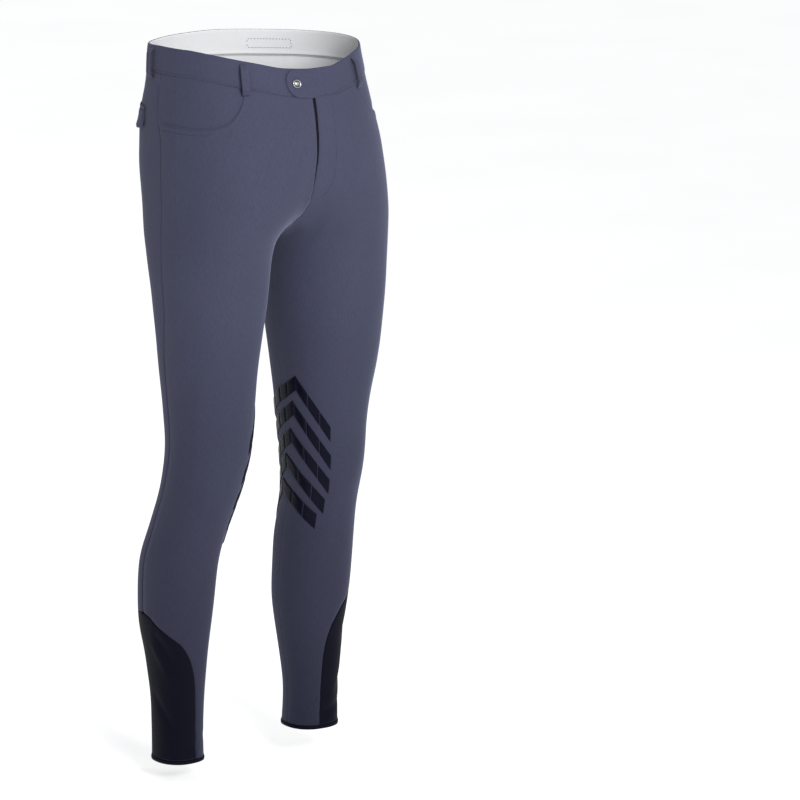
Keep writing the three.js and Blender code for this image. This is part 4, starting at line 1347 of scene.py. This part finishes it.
# a near-black strip behind the seam down the middle of the seat, painted shade along the seam
z = np.linspace(*SEAT_SHADE_STRIP, 90)
seat_line = leg_point("right", 180 - middle_turn("right", z, 0.0), z) + np.array([0, -1.3, 0])
stitches("seat_seam_shade_strip", [(seat_line, np.tile([0.0, 1.0, 0.0], (90, 1)))], crevice_shade, 1.6, 1.9, 0.5)

# the fly: a curved row on the left, and its bar-tack
curve_z = np.linspace(FLY_BEND, FLY_BEND - FLY_BEND_DEPTH, 30)
round_part = np.sqrt(np.clip(1 - ((curve_z - FLY_BEND) / FLY_BEND_DEPTH) ** 2, 0, 1))
curve_x = FLY_BEND_END + (FLY_ROW - FLY_BEND_END) * round_part
straight_part = front_row(np.full(60, FLY_ROW), np.linspace(-62, FLY_BEND, 60))
stitches("fly_row", [straight_part], thread, 3.0, 2.2, 0.14)
fly_paths = [front_row(curve_x, curve_z), front_row(np.linspace(-11, 15, 20), np.linspace(-198, -196, 20))]
stitches("fly_stitching", fly_paths, thread, 3.0, 2.2, 0.26)


def band_path(start, end, drop):
    """A line round the band, between two columns, at a drop below its top."""
    points, normals = [], []
    for leg, turn in columns[start:end]:
        base, normal = band_place(leg, turn, drop)
        rise = 0.25 + float(band_relief(drop / BAND_DEPTH)) + float(ease(leg, base)) * drop / BAND_DEPTH
        points.append(base + normal * (rise + 0.1))
        normals.append(normal)
    return points, normals


stitches("band_stitching", [band_path(18, len(columns) - 6, 33.8)], thread, 3.0, 2.2, 0.28)

# bar-tacks at the ends of the loops
tack_paths = []
for name, leg, turn, base_lift in LOOPS:
    rim = float(rim_at[leg](turn))
    for down in (rim - 4.8, rim - BAND_DEPTH - 8.2):
        middle = waist_point(leg, turn, down)
        normal = normal_at(leg, middle)
        way = level_way(normal)
        for shift in (-0.5, 0.3):
            spots = [middle + way * side + normal * (base_lift + 1.9) + np.array([0, 0, shift])
                     for side in np.linspace(-4.6, 4.6, 8)]
            tack_paths.append((spots, [normal] * 8))
stitches("loop_tacks", tack_paths, thread, 0.9, 1.4, 0.3)

# a stitched rectangle on the pale facing, towards the left of the back
BOX_TURNS = (158, 131)
BOX_DROPS = (13.5, 26)
BOX_SPOTS = 20


def facing_row(turns, drops):
    """A row on the inside of the facing."""
    spots = []
    for turn, drop in zip(turns, drops):
        base, normal = band_place("left", turn, drop)
        spots.append([base - normal * (BAND_WALL + 1.0), -normal])
    return np.array(spots).transpose(1, 0, 2)


box_turns = np.linspace(*BOX_TURNS, BOX_SPOTS)
box_drops = np.linspace(*BOX_DROPS, BOX_SPOTS)
box_paths = [facing_row(box_turns, [drop] * BOX_SPOTS) for drop in BOX_DROPS]
box_paths += [facing_row([turn] * BOX_SPOTS, box_drops) for turn in BOX_TURNS]
stitches("facing_stitching", box_paths, thread, 4.2, 1.7, 0.45)

for name, leg, turn, base_lift in LOOPS:
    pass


# Floor, light and camera
FLOOR = -1.03
FLOOR_GLOW = 0.6
WORLD_LIGHT = 0.42


def aimed_light(name, kind, place, aim, power, settings):
    data = bpy.data.lights.new(name, kind)
    data.energy = power
    for key, value in settings.items():
        setattr(data, key, value)
    light = bpy.data.objects.new(name, data)
    light.location = place
    light.rotation_euler = (Vector(aim) - Vector(place)).to_track_quat("-Z", "Y").to_euler()
    bpy.context.scene.collection.objects.link(light)


def make_floor():
    material, tree, shader = new_material("studio_floor")
    even = texture_place(tree, (1, 1, 1))
    wire(tree, shader, {"Roughness": 0.9, "Specular IOR Level": 0.0, "Emission Color": (1, 1, 1, 1),
                        "Emission Strength": FLOOR_GLOW},
         {"Base Color": ramp(tree, noise(tree, even, 3, 2), grey(0.88), grey(0.92))})
    mesh = bpy.data.meshes.new("floor")
    reach = 30
    mesh.from_pydata([(-reach, -reach, FLOOR), (reach, -reach, FLOOR), (reach, reach, FLOOR),
                      (-reach, reach, FLOOR)], [], [(0, 1, 2, 3)])
    mesh.materials.append(material)
    floor = bpy.data.objects.new("floor", mesh)
    bpy.context.scene.collection.objects.link(floor)


make_floor()
world = bpy.data.worlds.new("studio")
world.use_nodes = True
world.node_tree.nodes["Background"].inputs["Color"].default_value = (0.97, 0.98, 1.0, 1)
world.node_tree.nodes["Background"].inputs["Strength"].default_value = WORLD_LIGHT
bpy.context.scene.world = world
aimed_light("key_light", "SPOT", (-0.65, -2.75, 1.0), (-0.02, 0, 0.0), 440,
            {"spot_size": math.radians(44), "spot_blend": 1.0, "shadow_soft_size": 0.6})
aimed_light("side_light", "AREA", (2.2, -1.8, 0.9), (0, 0, -0.35), 12, {"shape": "DISK", "size": 1.2})
bpy.context.scene.view_settings.view_transform = "Standard"

# Camera: the photograph's first view
AZIMUTH = math.radians(-35.8)
ELEVATION = math.radians(12.3)
DISTANCE = 7.5
LENS = 244.69
# Pixels that a metre takes in the picture, and how many of them the picture's middle lies to the right
# of and below a point half a metre under the waist
PIXELS_PER_METRE = 725
CENTRE_RIGHT = 136
CENTRE_DOWN = -3.2
toward = Vector((math.sin(AZIMUTH) * math.cos(ELEVATION), -math.cos(AZIMUTH) * math.cos(ELEVATION),
                 math.sin(ELEVATION)))
across = Vector((math.cos(AZIMUTH), math.sin(AZIMUTH), 0))
upward = across.cross(toward) * -1
aim = Vector((0, 0, -0.5)) + across * (CENTRE_RIGHT / PIXELS_PER_METRE)
aim -= upward * (CENTRE_DOWN / PIXELS_PER_METRE)
camera_data = bpy.data.cameras.new("camera")
camera_data.sensor_width = 36
camera_data.lens = LENS
camera = bpy.data.objects.new("camera", camera_data)
camera.location = aim + toward * DISTANCE
camera.rotation_euler = (-toward).to_track_quat("-Z", "Y").to_euler()
bpy.context.scene.collection.objects.link(camera)
bpy.context.scene.camera = camera
